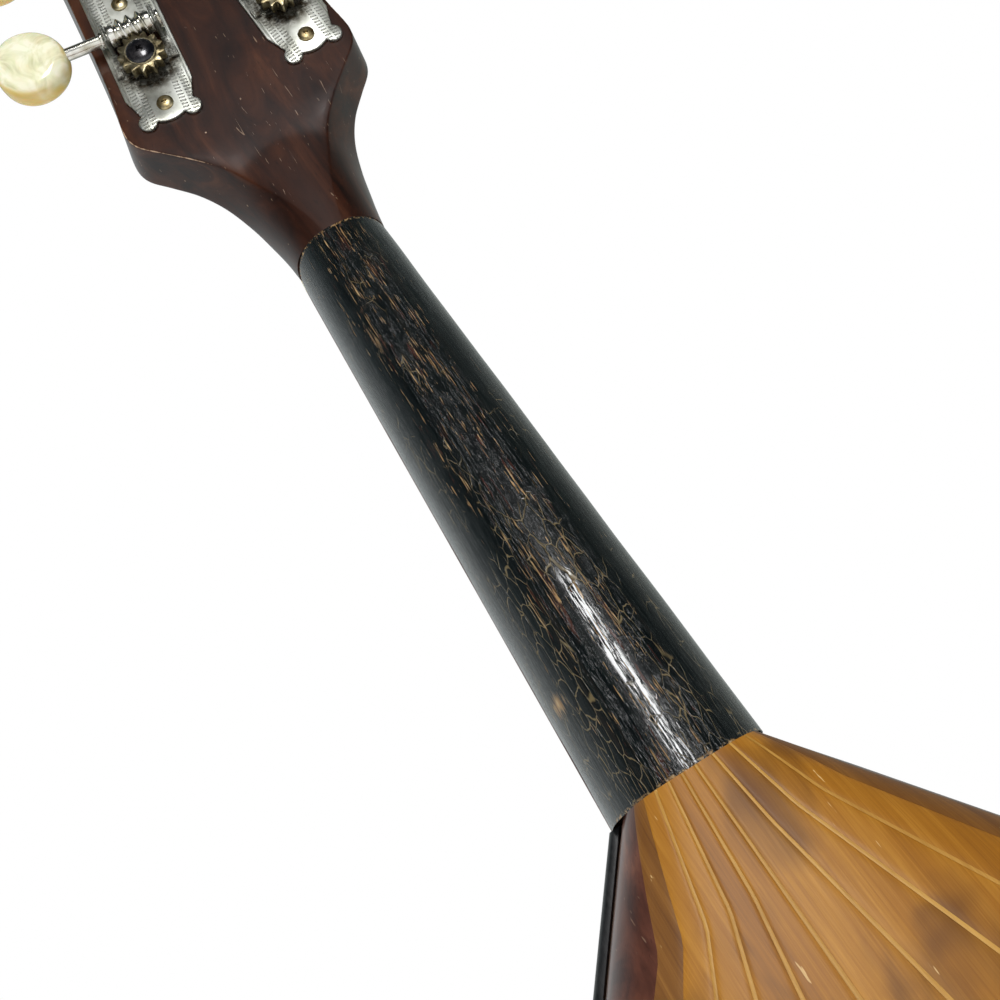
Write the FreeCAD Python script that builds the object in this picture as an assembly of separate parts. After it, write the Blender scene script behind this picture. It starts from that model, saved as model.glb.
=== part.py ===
import FreeCAD, Part
import math
import os

# Balalaika, in millimetres. The origin is on the neck's front plane at the joint of neck and head,
# where a wall hanger takes the neck. +Z runs up the neck to the head, the soundboard faces -Y and the
# ribbed back faces +Y. Distances called "drop" run down from the neck's heel into the body.

# ---- driving dimensions ----
SCALE_LENGTH = 400.0        # nut face to bridge
NECK_LENGTH = 171.0         # head joint to heel
NECK_WIDTH = (29.0, 37.0)   # at the head joint, at the heel
NECK_DEPTH = (17.7, 25.9)   # behind the front plane, at the same two places
NECK_POWER = 2.5            # how square the back of the neck is

BODY_LENGTH = 282.0         # heel to the outside of the bottom board
RIM_HALF_AT_HEEL = 19.3
RIM_FLARE = 0.8             # growth of the rim's half width per millimetre of drop
RIM_CURVE = 0.0001
CORNER_RADIUS = 18.0
BACK_DEPTH_AT_HEEL = 25.9
BACK_SLOPE = 0.198
BACK_CURVE = 0.0001
BINDING_WIDTH = 3.2         # across, which is also how far the edge stands proud of the sides
BINDING_HEIGHT = 4.0
SOUNDBOARD = 2.5            # thickness
RIB_THICKNESS = 2.5
SIDE_BAND = {1: 31.0, -1: 20.0}      # height of the dark band along the section, on the +X and -X side
BAND_SHARE = {1: 0.563, -1: 0.42}    # most that a band takes of its side's section
BAND_STEPS = 4
RIBS_PER_SIDE = 4
DARK_STRIP = 1.05           # width of a dark strip, in ribs
LINE_WIDTH = (0.5, 0.9)     # light strips between the ribs, at the heel and from LINE_FULL on
LINE_FULL = 60.0
BOARD_THICKNESS = 4.0       # bottom board
BLOCK_DROP = 36.0           # the neck block reaches this far into the body
STATIONS = [0.0, 8.0, 18.0, 36.0, 60.0, 95.0, 140.0, 190.0, 235.0, 264.0, 272.0, 278.0]

FINGERBOARD = 4.5           # thickness
FRETS = 16
NUT_ABOVE_JOINT = 4.5       # the nut's string face above the head joint
STRING_X = [11.0, 0.0, -11.0]
NUT_STRING_X = [9.5, 0.0, -9.5]
STRING_RADIUS = [0.25, 0.45, 0.45]
NUT_TOP = -6.3
BRIDGE_TOP = -12.5
SOUNDHOLE_DROP = 118.0
SOUNDHOLE_RADIUS = 16.0

HEAD_TILT = math.radians(13.2)
HEAD_BACK = 15.0            # depth of the head's back plane at the joint
HEAD_THICKNESS = 15.0
HEAD_LENGTH = 158.0

PLATE_X = 23.1              # end screw of each tuner plate, across and along the head
PLATE_S = 61.95
PLATE_TOE = math.radians(4.25)
PLATE_HALF = 10.4
PLATE_THICKNESS = 1.0
GEAR_FROM_SCREW = 15.2
TUNER_PITCH = 38.65
WORM_TO_GEAR = 9.8
WORM_HEIGHT = 4.4           # worm axis above the head's back
TEETH = 13
GEAR_RADIUS = 7.0
GEAR_THICKNESS = 2.8
WORM_LEAD = 2.0 * math.pi * 6.45 / TEETH
SHAFT_RADIUS = 1.7
POST_RADIUS = 3.0
BUTTON_FROM_GEAR = 30.2
BUTTON_RADIUS = 10.8
BUTTON_THICKNESS = 8.6
BUTTON_ROUND = 3.6
TUNERS = [(1, 0), (1, 1), (-1, 0)]   # side of the head (+1 is +X) and place on that side's plate

V = FreeCAD.Vector
os.makedirs("parts", exist_ok=True)


def save(name, shape):
    shape.exportStep("parts/" + name + ".step")
    print(name, "solids", len(shape.Solids), "valid", shape.isValid(), "volume", round(shape.Volume, 1))


def cylinder(radius, start, end):
    along = end.sub(start)
    return Part.makeCylinder(radius, along.Length, start, along)


def block(low, high):
    size = [b - a for a, b in zip(low, high)]
    return Part.makeBox(size[0], size[1], size[2], V(*low))


def polygon_wire(points):
    return Part.makePolygon([V(*p) for p in points] + [V(*points[0])])


def extruded(points, direction):
    return Part.Face(polygon_wire(points)).extrude(V(*direction))


# ---- the body's outline and back ----
def heel_z(drop):
    return -NECK_LENGTH - drop


def rim_half(drop):
    """Half width of the soundboard's outer edge at a drop below the heel."""
    straight = min(drop, BODY_LENGTH - CORNER_RADIUS)
    half = RIM_HALF_AT_HEEL + RIM_FLARE * straight - RIM_CURVE * straight ** 2
    into = max(drop - straight, 0.0) / CORNER_RADIUS
    return half - 0.7 * CORNER_RADIUS * (1.0 - math.sqrt(max(1.0 - into ** 2, 0.0)))


def side_half(drop):
    return rim_half(drop) - BINDING_WIDTH


def ridge_depth(drop):
    return BACK_DEPTH_AT_HEEL + BACK_SLOPE * drop - BACK_CURVE * drop ** 2


def section_power(drop):
    """How square the back's section is: fullest just below the heel, rounder towards the wide end."""
    fuller = min(drop / 15.0, 1.0)
    rounder = min(max((drop - 40.0) / 140.0, 0.0), 1.0)
    return 3.6 + 0.4 * fuller - 1.3 * rounder


def back_section(drop):
    """Half of the back's outer section, from the ridge to the foot on the soundboard, as fine points."""
    half = side_half(drop)
    depth = ridge_depth(drop) - SOUNDBOARD
    power = section_power(drop)
    fine = []
    steps = 400
    for i in range(steps + 1):
        turn = 0.5 * math.pi * i / steps
        x = half * math.sin(turn) ** (2.0 / power)
        y = SOUNDBOARD + depth * math.cos(turn) ** (2.0 / power)
        fine.append((x, y))
    return fine


def at_length(fine, wanted):
    """The point of a fine polyline at a length along it, and the outward normal there."""
    run = 0.0
    for (x0, y0), (x1, y1) in zip(fine, fine[1:]):
        step = math.hypot(x1 - x0, y1 - y0)
        if run + step >= wanted:
            break
        run += step
    part = min((wanted - run) / step, 1.0)
    point = (x0 + part * (x1 - x0), y0 + part * (y1 - y0))
    return point, ((y0 - y1) / step, (x1 - x0) / step)


def seams(drop, side):
    """Outer and inner section points of one side at a drop: both edges of each light strip, both edges
    of the dark strip, and points down the side band to the foot. The first pair lies beside the ridge."""
    fine = back_section(drop)
    total = sum(math.hypot(b[0] - a[0], b[1] - a[1]) for a, b in zip(fine, fine[1:]))
    band = min(SIDE_BAND[side], BAND_SHARE[side] * total)
    rib = (total - band) / (RIBS_PER_SIDE + DARK_STRIP)
    line = LINE_WIDTH[0] + (LINE_WIDTH[1] - LINE_WIDTH[0]) * min(drop / LINE_FULL, 1.0)
    lengths = [0.5 * line]
    for i in range(1, RIBS_PER_SIDE):
        lengths += [i * rib - 0.5 * line, i * rib + 0.5 * line]
    lengths.append(RIBS_PER_SIDE * rib)
    lengths += [total - band * (BAND_STEPS - i) / BAND_STEPS for i in range(BAND_STEPS + 1)]
    outer = []
    inner = []
    for length in lengths:
        (x, y), (nx, ny) = at_length(fine, length)
        outer.append((x, y))
        inner.append((x - nx * RIB_THICKNESS, y - ny * RIB_THICKNESS))
    foot_x, foot_y = outer[-1]
    inner[-1] = (foot_x - RIB_THICKNESS, foot_y)
    return outer, inner


OUTER = {(side, drop): seams(drop, side)[0] for side in (1, -1) for drop in STATIONS}
INNER = {(side, drop): seams(drop, side)[1] for side in (1, -1) for drop in STATIONS}


def strip(first, last, side):
    """One strip of the back between two seam points on one side, as a ruled solid through all stations."""
    wires = []
    for drop in STATIONS:
        z = heel_z(drop)
        corners = OUTER[side, drop][first:last + 1] + INNER[side, drop][first:last + 1][::-1]
        wires.append(polygon_wire([(side * x, y, z) for x, y in corners]))
    return Part.makeLoft(wires, True, True)


def ridge_line():
    """The light strip along the ridge."""
    wires = []
    for drop in STATIONS:
        z = heel_z(drop)
        (xo, yo), (xi, yi) = OUTER[1, drop][0], INNER[1, drop][0]
        wires.append(polygon_wire([(xo, yo, z), (-xo, yo, z), (-xi, yi, z), (xi, yi, z)]))
    return Part.makeLoft(wires, True, True)


def build_back():
    lines = [ridge_line()]
    for side, tag in ((1, "left"), (-1, "right")):
        for i in range(RIBS_PER_SIDE):
            save("rib_%s_%d" % (tag, i + 1), strip(2 * i, 2 * i + 1, side))
        for i in range(1, RIBS_PER_SIDE):
            lines.append(strip(2 * i - 1, 2 * i, side))
        dark = 2 * RIBS_PER_SIDE - 1
        save("dark_strip_" + tag, strip(dark, dark + 1, side))
        save("side_band_" + tag, strip(dark + 1, dark + 1 + BAND_STEPS, side))
    save("rib_lines", Part.makeCompound(lines))


def full_section(table, drop):
    plus = [(x, y) for x, y in table[1, drop]]
    minus = [(-x, y) for x, y in reversed(table[-1, drop])]
    return [(x, y, heel_z(drop)) for x, y in minus + plus]


def build_neck_block():
    drops = [drop for drop in STATIONS if drop <= BLOCK_DROP]
    wires = [polygon_wire(full_section(INNER, drop)) for drop in drops]
    save("neck_block", Part.makeLoft(wires, True, True))


def build_bottom_board():
    """Flat board that closes the wide end, with the tail screws' holes."""
    drops = [BODY_LENGTH - BOARD_THICKNESS, BODY_LENGTH]
    for side in (1, -1):
        OUTER[side, BODY_LENGTH] = seams(BODY_LENGTH, side)[0]
    wires = [polygon_wire(full_section(OUTER, drop)) for drop in drops]
    board = Part.makeLoft(wires, True, True)
    save("bottom_board", board.cut(Part.makeCompound(tail_screws())))


def outline(half_at, bottom_drop):
    drops = STATIONS + [BODY_LENGTH]
    edge = [(half_at(drop), heel_z(drop)) for drop in drops[:-1]]
    edge.append((half_at(drops[-1]), heel_z(bottom_drop)))
    return [(x, 0.0, z) for x, z in edge] + [(-x, 0.0, z) for x, z in reversed(edge)]


def build_linings():
    """Two thin strips glued in the corner of soundboard and side."""
    drops = [drop for drop in STATIONS if drop >= BLOCK_DROP]
    strips = []
    for side in (1, -1):
        wires = []
        for drop in drops:
            z = heel_z(drop)
            x, y = INNER[side, drop][-1]
            xu, yu = INNER[side, drop][-2]
            part = min(6.0 / math.hypot(xu - x, yu - y), 1.0)
            top = (x + part * (xu - x), y + part * (yu - y))
            points = [(x, y), top, (top[0] - 3.0, top[1]), (x - 5.0, y)]
            wires.append(polygon_wire([(side * px, py, z) for px, py in points]))
        strips.append(Part.makeLoft(wires, True, True))
    save("linings", Part.makeCompound(strips))


# ---- soundboard and what lies on it ----
def shield_face():
    """The dark guard plate let into the soundboard below the fingerboard."""
    top = heel_z(76.0)
    low = heel_z(186.0)
    a = V(17.0, 0, top)
    b = V(30.0, 0, heel_z(96.0))
    c = V(58.0, 0, heel_z(172.0))
    edges = []
    for side in (1, -1):
        p, q, r = [V(side * k.x, 0, k.z) for k in (a, b, c)]
        edges.append(Part.Arc(p, V(side * 20.0, 0, heel_z(88.0)), q).toShape())
        edges.append(Part.Arc(q, V(side * 50.0, 0, heel_z(132.0)), r).toShape())
        edges.append(Part.Arc(r, V(side * 34.0, 0, heel_z(181.0)), V(0, 0, low)).toShape())
    edges.append(Part.makeLine(a, V(-a.x, 0, a.z)))
    return Part.Face(Part.Wire(Part.__sortEdges__(edges)))


def build_soundboard():
    centre = V(0, 0, heel_z(SOUNDHOLE_DROP))
    board = extruded(outline(side_half, BODY_LENGTH), (0, SOUNDBOARD, 0))
    hole = Part.makeCylinder(SOUNDHOLE_RADIUS, 20.0, centre.add(V(0, -10, 0)), V(0, 1, 0))
    ring = Part.makeCylinder(SOUNDHOLE_RADIUS + 5.0, 0.8, centre, V(0, 1, 0)).cut(hole)
    guard = shield_face().extrude(V(0, 0.8, 0)).cut(hole).cut(ring)
    board = board.cut(hole).cut(ring).cut(guard)
    save("soundboard", board)
    save("soundhole_ring", ring)
    save("guard_plate", guard)
    outer = extruded(outline(rim_half, BODY_LENGTH + 2.0), (0, BINDING_HEIGHT, 0))
    core = extruded(outline(side_half, BODY_LENGTH), (0, BINDING_HEIGHT, 0))
    save("edge_binding", outer.cut(core))


def build_braces():
    """Spruce bars glued across the inside of the soundboard."""
    bars = []
    for drop, height in ((84.0, 9.0), (150.0, 10.0), (205.0, 9.0), (250.0, 8.0)):
        half = side_half(drop) - 14.0
        z = heel_z(drop)
        y = SOUNDBOARD
        profile = [(-half, y, z), (half, y, z), (half - 14, y + height, z), (14 - half, y + height, z)]
        bars.append(extruded(profile, (0, 0, -6.0)))
    save("soundboard_bars", Part.makeCompound(bars))


# ---- neck, fingerboard, nut ----
def neck_size(z):
    part = -z / NECK_LENGTH
    half = 0.5 * (NECK_WIDTH[0] + part * (NECK_WIDTH[1] - NECK_WIDTH[0]))
    depth = NECK_DEPTH[0] + part * (NECK_DEPTH[1] - NECK_DEPTH[0])
    return half, depth


def neck_section(z, count=24):
    half, depth = neck_size(z)
    points = []
    for i in range(count + 1):
        turn = math.pi * i / count
        c, s = math.cos(turn), math.sin(turn)
        x = half * math.copysign(abs(c) ** (2.0 / NECK_POWER), c)
        y = depth * abs(s) ** (2.0 / NECK_POWER)
        points.append((x, y, z))
    return points


def build_neck():
    wires = [polygon_wire(neck_section(z)) for z in (0.0, -NECK_LENGTH)]
    save("neck", Part.makeLoft(wires, True, True))


def board_half(z):
    """Half width of the fingerboard, which keeps the neck's taper."""
    return 0.5 * (NECK_WIDTH[0] - (NECK_WIDTH[1] - NECK_WIDTH[0]) * z / NECK_LENGTH)


def fret_z(number):
    return NUT_ABOVE_JOINT - SCALE_LENGTH * (1.0 - 2.0 ** (-number / 12.0))


def build_fingerboard():
    end = fret_z(FRETS) - 8.0
    top = 0.0
    corners = [(board_half(top), 0, top), (board_half(end), 0, end)]
    corners += [(-x, y, z) for x, y, z in reversed(corners)]
    board = extruded(corners, (0, -FINGERBOARD, 0))
    wires = []
    slots = []
    for number in range(1, FRETS + 1):
        z = fret_z(number)
        half = board_half(z) - 0.2
        crown = Part.makeCylinder(1.1, 2 * half, V(-half, -FINGERBOARD, z), V(1, 0, 0))
        below = block((-half - 1, -FINGERBOARD, z - 2), (half + 1, 0, z + 2))
        tang = block((-half, -FINGERBOARD, z - 0.3), (half, -FINGERBOARD + 1.8, z + 0.3))
        wires += [crown.cut(below).fuse(tang).removeSplitter()]
        slots.append(tang)
    dots = []
    for number in (2, 5, 7, 10, 12):
        z = 0.5 * (fret_z(number) + fret_z(number - 1))
        dots.append(Part.makeCylinder(2.5, 1.5, V(0, -FINGERBOARD, z), V(0, 1, 0)))
    board = board.cut(Part.makeCompound(slots + dots))
    save("fingerboard", board)
    save("frets", Part.makeCompound(wires))
    save("position_dots", Part.makeCompound(dots))


def build_nut():
    half = board_half(0) - 0.1
    low, high = 0.0, NUT_ABOVE_JOINT
    profile = [(-half, 0.0, low), (-half, NUT_TOP, low), (-half, NUT_TOP + 0.8, high), (-half, 0.0, high)]
    nut = extruded(profile, (2 * half, 0, 0))
    for x, radius in zip(NUT_STRING_X, STRING_RADIUS):
        reach = radius + 0.15
        groove = block((x - reach, NUT_TOP - 3, low - 1), (x + reach, NUT_TOP + 1.3, high + 1))
        nut = nut.cut(groove)
    save("nut", nut)


# ---- head ----
def head_point(x, s, height):
    """A point at x across, s along the head from the joint, and height above its back plane."""
    y = HEAD_BACK + s * math.sin(HEAD_TILT) + height * math.cos(HEAD_TILT)
    z = s * math.cos(HEAD_TILT) - height * math.sin(HEAD_TILT)
    return V(x, y, z)


# half widths along the head: (s, front edge, back edge)
HEAD_FORM = [
    (0.0, 14.5, 3.0), (6.0, 15.3, 4.2), (13.0, 16.7, 6.4), (23.0, 19.0, 10.8), (33.0, 22.4, 15.9),
    (41.0, 27.0, 22.7), (48.0, 33.2, 29.9), (52.5, 37.4, 34.5), (56.0, 39.0, 36.4), (60.0, 39.3, 36.8),
    (67.0, 38.5, 35.8), (78.0, 37.0, 34.4), (98.0, 35.4, 32.9), (120.0, 34.0, 31.6), (136.0, 33.2, 31.0),
]
# the head's middle stands a little to one side of the neck's
HEAD_LEAN = 1.2
LEAN_FROM = 4.0
LEAN_TO = 45.0
# from here down to the joint the flat back rises to meet the neck
RAMP_LENGTH = 34.0


def head_lean(s):
    part = min(max((s - LEAN_FROM) / (LEAN_TO - LEAN_FROM), 0.0), 1.0)
    return HEAD_LEAN * part * part * (3.0 - 2.0 * part)


def head_section(s, front, back):
    """Closed section of the head: flat front, flat back, rounded sides that square up with s."""
    square = min(s / 44.0, 1.0)
    square = square * square * (3.0 - 2.0 * square)
    crown = (NECK_DEPTH[0] - HEAD_BACK) * max(1.0 - s / RAMP_LENGTH, 0.0)
    count = 8
    sweep = math.acos((back / front) ** (NECK_POWER / 2.0))
    side = []
    for i in range(count + 1):
        turn = sweep * i / count
        round_x = front * math.cos(turn) ** (2.0 / NECK_POWER)
        rise = math.sin(turn) ** (2.0 / NECK_POWER)
        round_h = -HEAD_THICKNESS + (HEAD_THICKNESS + crown) * rise
        part = i / count
        flat_x = front + (back - front) * part
        flat_h = -HEAD_THICKNESS + (HEAD_THICKNESS + crown) * part
        side.append((round_x + square * (flat_x - round_x), round_h + square * (flat_h - round_h)))
    middle = [(0.0, crown)]
    whole = side + middle + [(-x, h) for x, h in reversed(side)]
    return [tuple(head_point(x + head_lean(s), s, h)) for x, h in whole]


def build_head():
    wires = []
    for s, front, back in HEAD_FORM:
        points = head_section(s, front, back)
        if s == 0.0:
            points = [(x, y, 0.0) for x, y, z in neck_section(0.0, 18)]
        wires.append(polygon_wire(points))
    body = Part.makeLoft(wires, True, True)
    last, front, back = HEAD_FORM[-1]
    # the crest: hollow shoulders that rise to a rounded point
    crest = [Part.makeLine(V(-front, last, 0), V(front, last, 0))]
    for side in (1, -1):
        a = V(side * front, last, 0)
        b = V(side * (front - 3.0), last + 9.0, 0)
        c = V(side * 11.0, last + 14.5, 0)
        crest.append(Part.Arc(a, V(side * (front - 0.5), last + 5.0, 0), b).toShape())
        crest.append(Part.Arc(b, V(side * 21.0, last + 9.5, 0), c).toShape())
    top = V(0, HEAD_LENGTH, 0)
    crest.append(Part.Arc(V(11.0, last + 14.5, 0), top, V(-11.0, last + 14.5, 0)).toShape())
    face = Part.Face(Part.Wire(Part.__sortEdges__(crest)))
    cap = face.extrude(V(0, 0, -HEAD_THICKNESS))
    cap.translate(V(HEAD_LEAN, 0, 0))
    cap.Placement = head_frame().multiply(cap.Placement)
    bores = []
    for side, place in TUNERS:
        centre = tuner_centre(place)
        drill = Part.makeCylinder(POST_RADIUS + 0.25, 40, V(centre[0], centre[1], -30), V(0, 0, 1))
        seat = Part.makeCylinder(4.3, 8.0, V(centre[0], centre[1], -HEAD_THICKNESS), V(0, 0, 1))
        for tool in (drill, seat):
            tool.Placement = plate_frame(side)
            bores.append(tool)
    for side, count in ((1, 2), (-1, 1)):
        for v in screw_places(count):
            tool = Part.makeCylinder(0.9, 7.0, V(0, v, -7.0), V(0, 0, 1))
            tool.Placement = plate_frame(side)
            bores.append(tool)
    head = body.fuse(cap).removeSplitter().cut(Part.makeCompound(bores))
    save("head", head)


# ---- tuners: each is built flat, with X across the head, Y towards its tip and Z out of its back ----
def placement(x_axis, y_axis, z_axis, origin):
    m = FreeCAD.Matrix(
        x_axis.x, y_axis.x, z_axis.x, origin.x,
        x_axis.y, y_axis.y, z_axis.y, origin.y,
        x_axis.z, y_axis.z, z_axis.z, origin.z,
        0, 0, 0, 1)
    return FreeCAD.Placement(m)


def head_frame():
    along = V(0, math.sin(HEAD_TILT), math.cos(HEAD_TILT))
    out = V(0, math.cos(HEAD_TILT), -math.sin(HEAD_TILT))
    return placement(along.cross(out), along, out, head_point(0, 0, 0))


def plate_frame(side):
    """Frame of a tuner plate: origin at its end screw on the wood, Y along it, Z out of the back.
    The head's outer edge lies towards -X on the +X side of the head and towards +X on the other."""
    along = V(0, math.sin(HEAD_TILT), math.cos(HEAD_TILT))
    out = V(0, math.cos(HEAD_TILT), -math.sin(HEAD_TILT))
    y_axis = along.multiply(math.cos(PLATE_TOE)).add(V(-side * math.sin(PLATE_TOE), 0, 0))
    return placement(y_axis.cross(out), y_axis, out, head_point(side * PLATE_X, PLATE_S, 0))


def tuner_centre(place):
    return (0.0, GEAR_FROM_SCREW + TUNER_PITCH * place)


def screw_places(count):
    return [TUNER_PITCH * i for i in range(count + 1)]


def placed(shape, side):
    moved = shape.copy()
    moved.Placement = plate_frame(side).multiply(shape.Placement)
    return moved


def scalloped_end(y, direction):
    """Edges of one end of a plate: a step, a hollow, a round lobe, then a shallow middle lobe."""
    w = PLATE_HALF
    k = direction

    def p(x, v):
        return V(x, y + k * v, 0)
    edges = []
    for side in (1, -1):
        edges.append(Part.Arc(p(side * w, 0), p(side * 8.9, 4.0), p(side * 8.0, 3.6 + 3.2)).toShape())
        edges.append(Part.Arc(p(side * 8.0, 6.8), p(side * 8.6, 11.4), p(side * 4.2, 10.0)).toShape())
    edges.append(Part.Arc(p(4.2, 10.0), p(0, 11.2), p(-4.2, 10.0)).toShape())
    return edges


def build_plate(tag, side, count):
    last = TUNER_PITCH * count
    step_low, step_high = 5.3, last - 5.3
    edges = scalloped_end(step_low, -1) + scalloped_end(step_high, 1)
    for x in (PLATE_HALF, -PLATE_HALF):
        edges.append(Part.makeLine(V(x, step_low, 0), V(x, step_high, 0)))
    face = Part.Face(Part.Wire(Part.__sortEdges__(edges)))
    plate = face.extrude(V(0, 0, PLATE_THICKNESS))
    for v in screw_places(count):
        plate = plate.cut(Part.makeCylinder(1.3, 4, V(0, v, -1), V(0, 0, 1)))
    for place in range(count):
        x, y = tuner_centre(place)
        worm_y = y + WORM_TO_GEAR
        plate = plate.cut(Part.makeCylinder(POST_RADIUS + 0.1, 4, V(x, y, -1), V(0, 0, 1)))
        plate = plate.cut(block((-6.9, worm_y - 4.6, -1), (6.9, worm_y + 4.6, 4)))
        ear_top = WORM_HEIGHT + 3.0
        ears = []
        for s in (1, -1):
            x0, x1 = sorted((s * 7.0, s * 8.2))
            upright = block((x0, worm_y - 3.4, PLATE_THICKNESS), (x1, worm_y + 3.4, ear_top))
            foot = block((x0, worm_y - 3.4, 0), (x1, worm_y + 3.4, PLATE_THICKNESS))
            ears.append(upright.fuse(foot))
            tab_x = s * 8.6
            tab_top = PLATE_THICKNESS + 0.9
            tab = block((tab_x - 1.2, y - 2.0, PLATE_THICKNESS), (tab_x + 1.2, y + 1.2, tab_top))
            ears.append(tab)
        for ear in ears:
            plate = plate.fuse(ear)
        bore = Part.makeCylinder(SHAFT_RADIUS + 0.06, 40, V(-20, worm_y, WORM_HEIGHT), V(1, 0, 0))
        plate = plate.cut(bore)
    save("tuner_plate_" + tag, placed(plate.removeSplitter(), side))


def countersunk_screw():
    head = Part.makeCylinder(2.5, 0.5, V(0, 0, PLATE_THICKNESS)).fuse(
        Part.makeCone(2.5, 1.6, 0.5, V(0, 0, PLATE_THICKNESS + 0.5)))
    shank = Part.makeCylinder(0.9, PLATE_THICKNESS + 7.0, V(0, 0, -7.0))
    cross = block((-1.3, -0.25, 1.3), (1.3, 0.25, 3)).fuse(block((-0.25, -1.3, 1.3), (0.25, 1.3, 3)))
    return head.fuse(shank).removeSplitter().cut(cross)


def build_plate_screws():
    screws = []
    for side, count in ((1, 2), (-1, 1)):
        for v in screw_places(count):
            screw = countersunk_screw()
            screw.translate(V(0, v, 0))
            screws.append(placed(screw, side))
    save("plate_screws", Part.makeCompound(screws))


def gear_solid():
    """Thirteen stub teeth around a collar that stands on the plate."""
    profile = [(-1.05, 5.4), (-0.85, 5.9), (-0.5, 6.6), (-0.3, GEAR_RADIUS), (0.3, GEAR_RADIUS),
               (0.5, 6.6), (0.85, 5.9), (1.05, 5.4)]
    points = []
    low = WORM_HEIGHT - 0.5 * GEAR_THICKNESS
    for tooth in range(TEETH):
        turn = -2.0 * math.pi * tooth / TEETH
        c, s = math.cos(turn), math.sin(turn)
        points += [(x * c - y * s, x * s + y * c, low) for x, y in profile]
    gear = extruded(points, (0, 0, GEAR_THICKNESS))
    collar = Part.makeCylinder(4.2, low - PLATE_THICKNESS - 0.2, V(0, 0, PLATE_THICKNESS + 0.2))
    bore = Part.makeCylinder(2.4, 20, V(0, 0, -5))
    return gear.fuse(collar).cut(bore)


def worm_solid():
    """A screw of one start: a round section whose centre winds about the shaft. A hollow faces the gear."""
    length = 3.0 * WORM_LEAD
    count = 48
    wires = []
    for i in range(count + 1):
        x = -0.5 * length + length * i / count
        turn = 2.0 * math.pi * x / WORM_LEAD
        centre = V(x, 0.7 * math.cos(turn), 0.7 * math.sin(turn))
        circle = Part.Circle(centre, V(1, 0, 0), 3.2)
        wires.append(Part.Wire(circle.toShape()))
    return Part.makeLoft(wires, True, False)


def shaft_solid(outward):
    """Worm, collars and shaft. outward is +1 where the button lies towards +X of the plate's frame."""
    worm = worm_solid()
    reach = 0.5 * 3.0 * WORM_LEAD
    parts = [worm]
    for s in (1, -1):
        parts.append(cylinder(2.9, V(s * (reach - 0.2), 0, 0), V(s * 6.8, 0, 0)))
    parts.append(cylinder(SHAFT_RADIUS, V(-outward * 9.2, 0, 0), V(outward * 24.0, 0, 0)))
    parts.append(cylinder(2.5, V(-outward * 8.3, 0, 0), V(-outward * 9.4, 0, 0)))
    shaft = parts[0]
    for piece in parts[1:]:
        shaft = shaft.fuse(piece)
    return shaft


def button_solid(outward):
    """Thick round-edged knob, bored for its shaft."""
    centre = V(outward * BUTTON_FROM_GEAR, 0, -0.5 * BUTTON_THICKNESS)
    knob = Part.makeCylinder(BUTTON_RADIUS, BUTTON_THICKNESS, centre)
    rims = [edge for edge in knob.Edges if isinstance(edge.Curve, Part.Circle)]
    knob = knob.makeFillet(BUTTON_ROUND, rims)
    return knob.cut(cylinder(SHAFT_RADIUS, V(outward * 10, 0, 0), V(outward * 24.0, 0, 0)))


def dome_screw():
    """The screw that holds a gear on its post."""
    top = WORM_HEIGHT + 0.5 * GEAR_THICKNESS
    rim = 4.3
    rise = 1.6
    radius = (rim ** 2 + rise ** 2) / (2.0 * rise)
    ball = Part.makeSphere(radius, V(0, 0, top + rise - radius))
    head = ball.common(Part.makeCylinder(rim, 10, V(0, 0, top)))
    cross = block((-1.9, -0.4, top + 0.7), (1.9, 0.4, top + 4)).fuse(
        block((-0.4, -1.9, top + 0.7), (0.4, 1.9, top + 4)))
    shank = Part.makeCylinder(1.2, 5.0, V(0, 0, top - 5.0))
    return head.fuse(shank).removeSplitter().cut(cross)


def post_solid():
    """String post: stepped into the gear at the back, waisted where the string winds in front."""
    top = WORM_HEIGHT + 0.5 * GEAR_THICKNESS
    seat = PLATE_THICKNESS + 0.2
    front = -HEAD_THICKNESS
    post = cylinder(POST_RADIUS, V(0, 0, front - 12.0), V(0, 0, seat))
    post = post.fuse(Part.makeCylinder(2.4, top - seat, V(0, 0, seat)))
    post = post.fuse(Part.makeCylinder(3.6, 1.5, V(0, 0, front - 12.5)))
    post = post.cut(Part.makeCylinder(1.2, 5.0, V(0, 0, top - 5.0)))
    hole = Part.makeCylinder(0.7, 12, V(-6, 0, front - 9.5), V(1, 0, 0))
    return post.removeSplitter().cut(hole)


WIND_LOW = -HEAD_THICKNESS - 8.0
WIND_HIGH = -HEAD_THICKNESS - 4.0


def winding_radius(string):
    return POST_RADIUS + 2.0 * STRING_RADIUS[string]


def build_tuners():
    for number, (side, place) in enumerate(TUNERS):
        outward = -side
        x, y = tuner_centre(place)
        tag = "_%d" % (number + 1)
        gear = gear_solid()
        post = post_solid()
        screw = dome_screw()
        wind = Part.makeCylinder(winding_radius(number), WIND_HIGH - WIND_LOW, V(0, 0, WIND_LOW))
        wind = wind.cut(Part.makeCylinder(POST_RADIUS, 40, V(0, 0, -40)))
        turning = (("gear", gear), ("string_post", post), ("gear_screw", screw), ("string_wind", wind))
        for name, shape in turning:
            shape.translate(V(x, y, 0))
            save(name + tag, placed(shape, side))
        shaft = shaft_solid(outward)
        button = button_solid(outward)
        for name, shape in (("worm_shaft", shaft), ("tuner_button", button)):
            shape.translate(V(x, y + WORM_TO_GEAR, WORM_HEIGHT))
            save(name + tag, placed(shape, side))


def build_ferrules():
    rings = []
    for side, place in TUNERS:
        x, y = tuner_centre(place)
        front = -HEAD_THICKNESS
        ring = Part.makeCylinder(4.3, 8.0, V(x, y, front))
        ring = ring.fuse(Part.makeCylinder(5.4, 1.2, V(x, y, front - 1.2)))
        ring = ring.removeSplitter().cut(Part.makeCylinder(POST_RADIUS + 0.06, 30, V(x, y, -30)))
        rings.append(placed(ring, side))
    save("post_ferrules", Part.makeCompound(rings))


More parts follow.
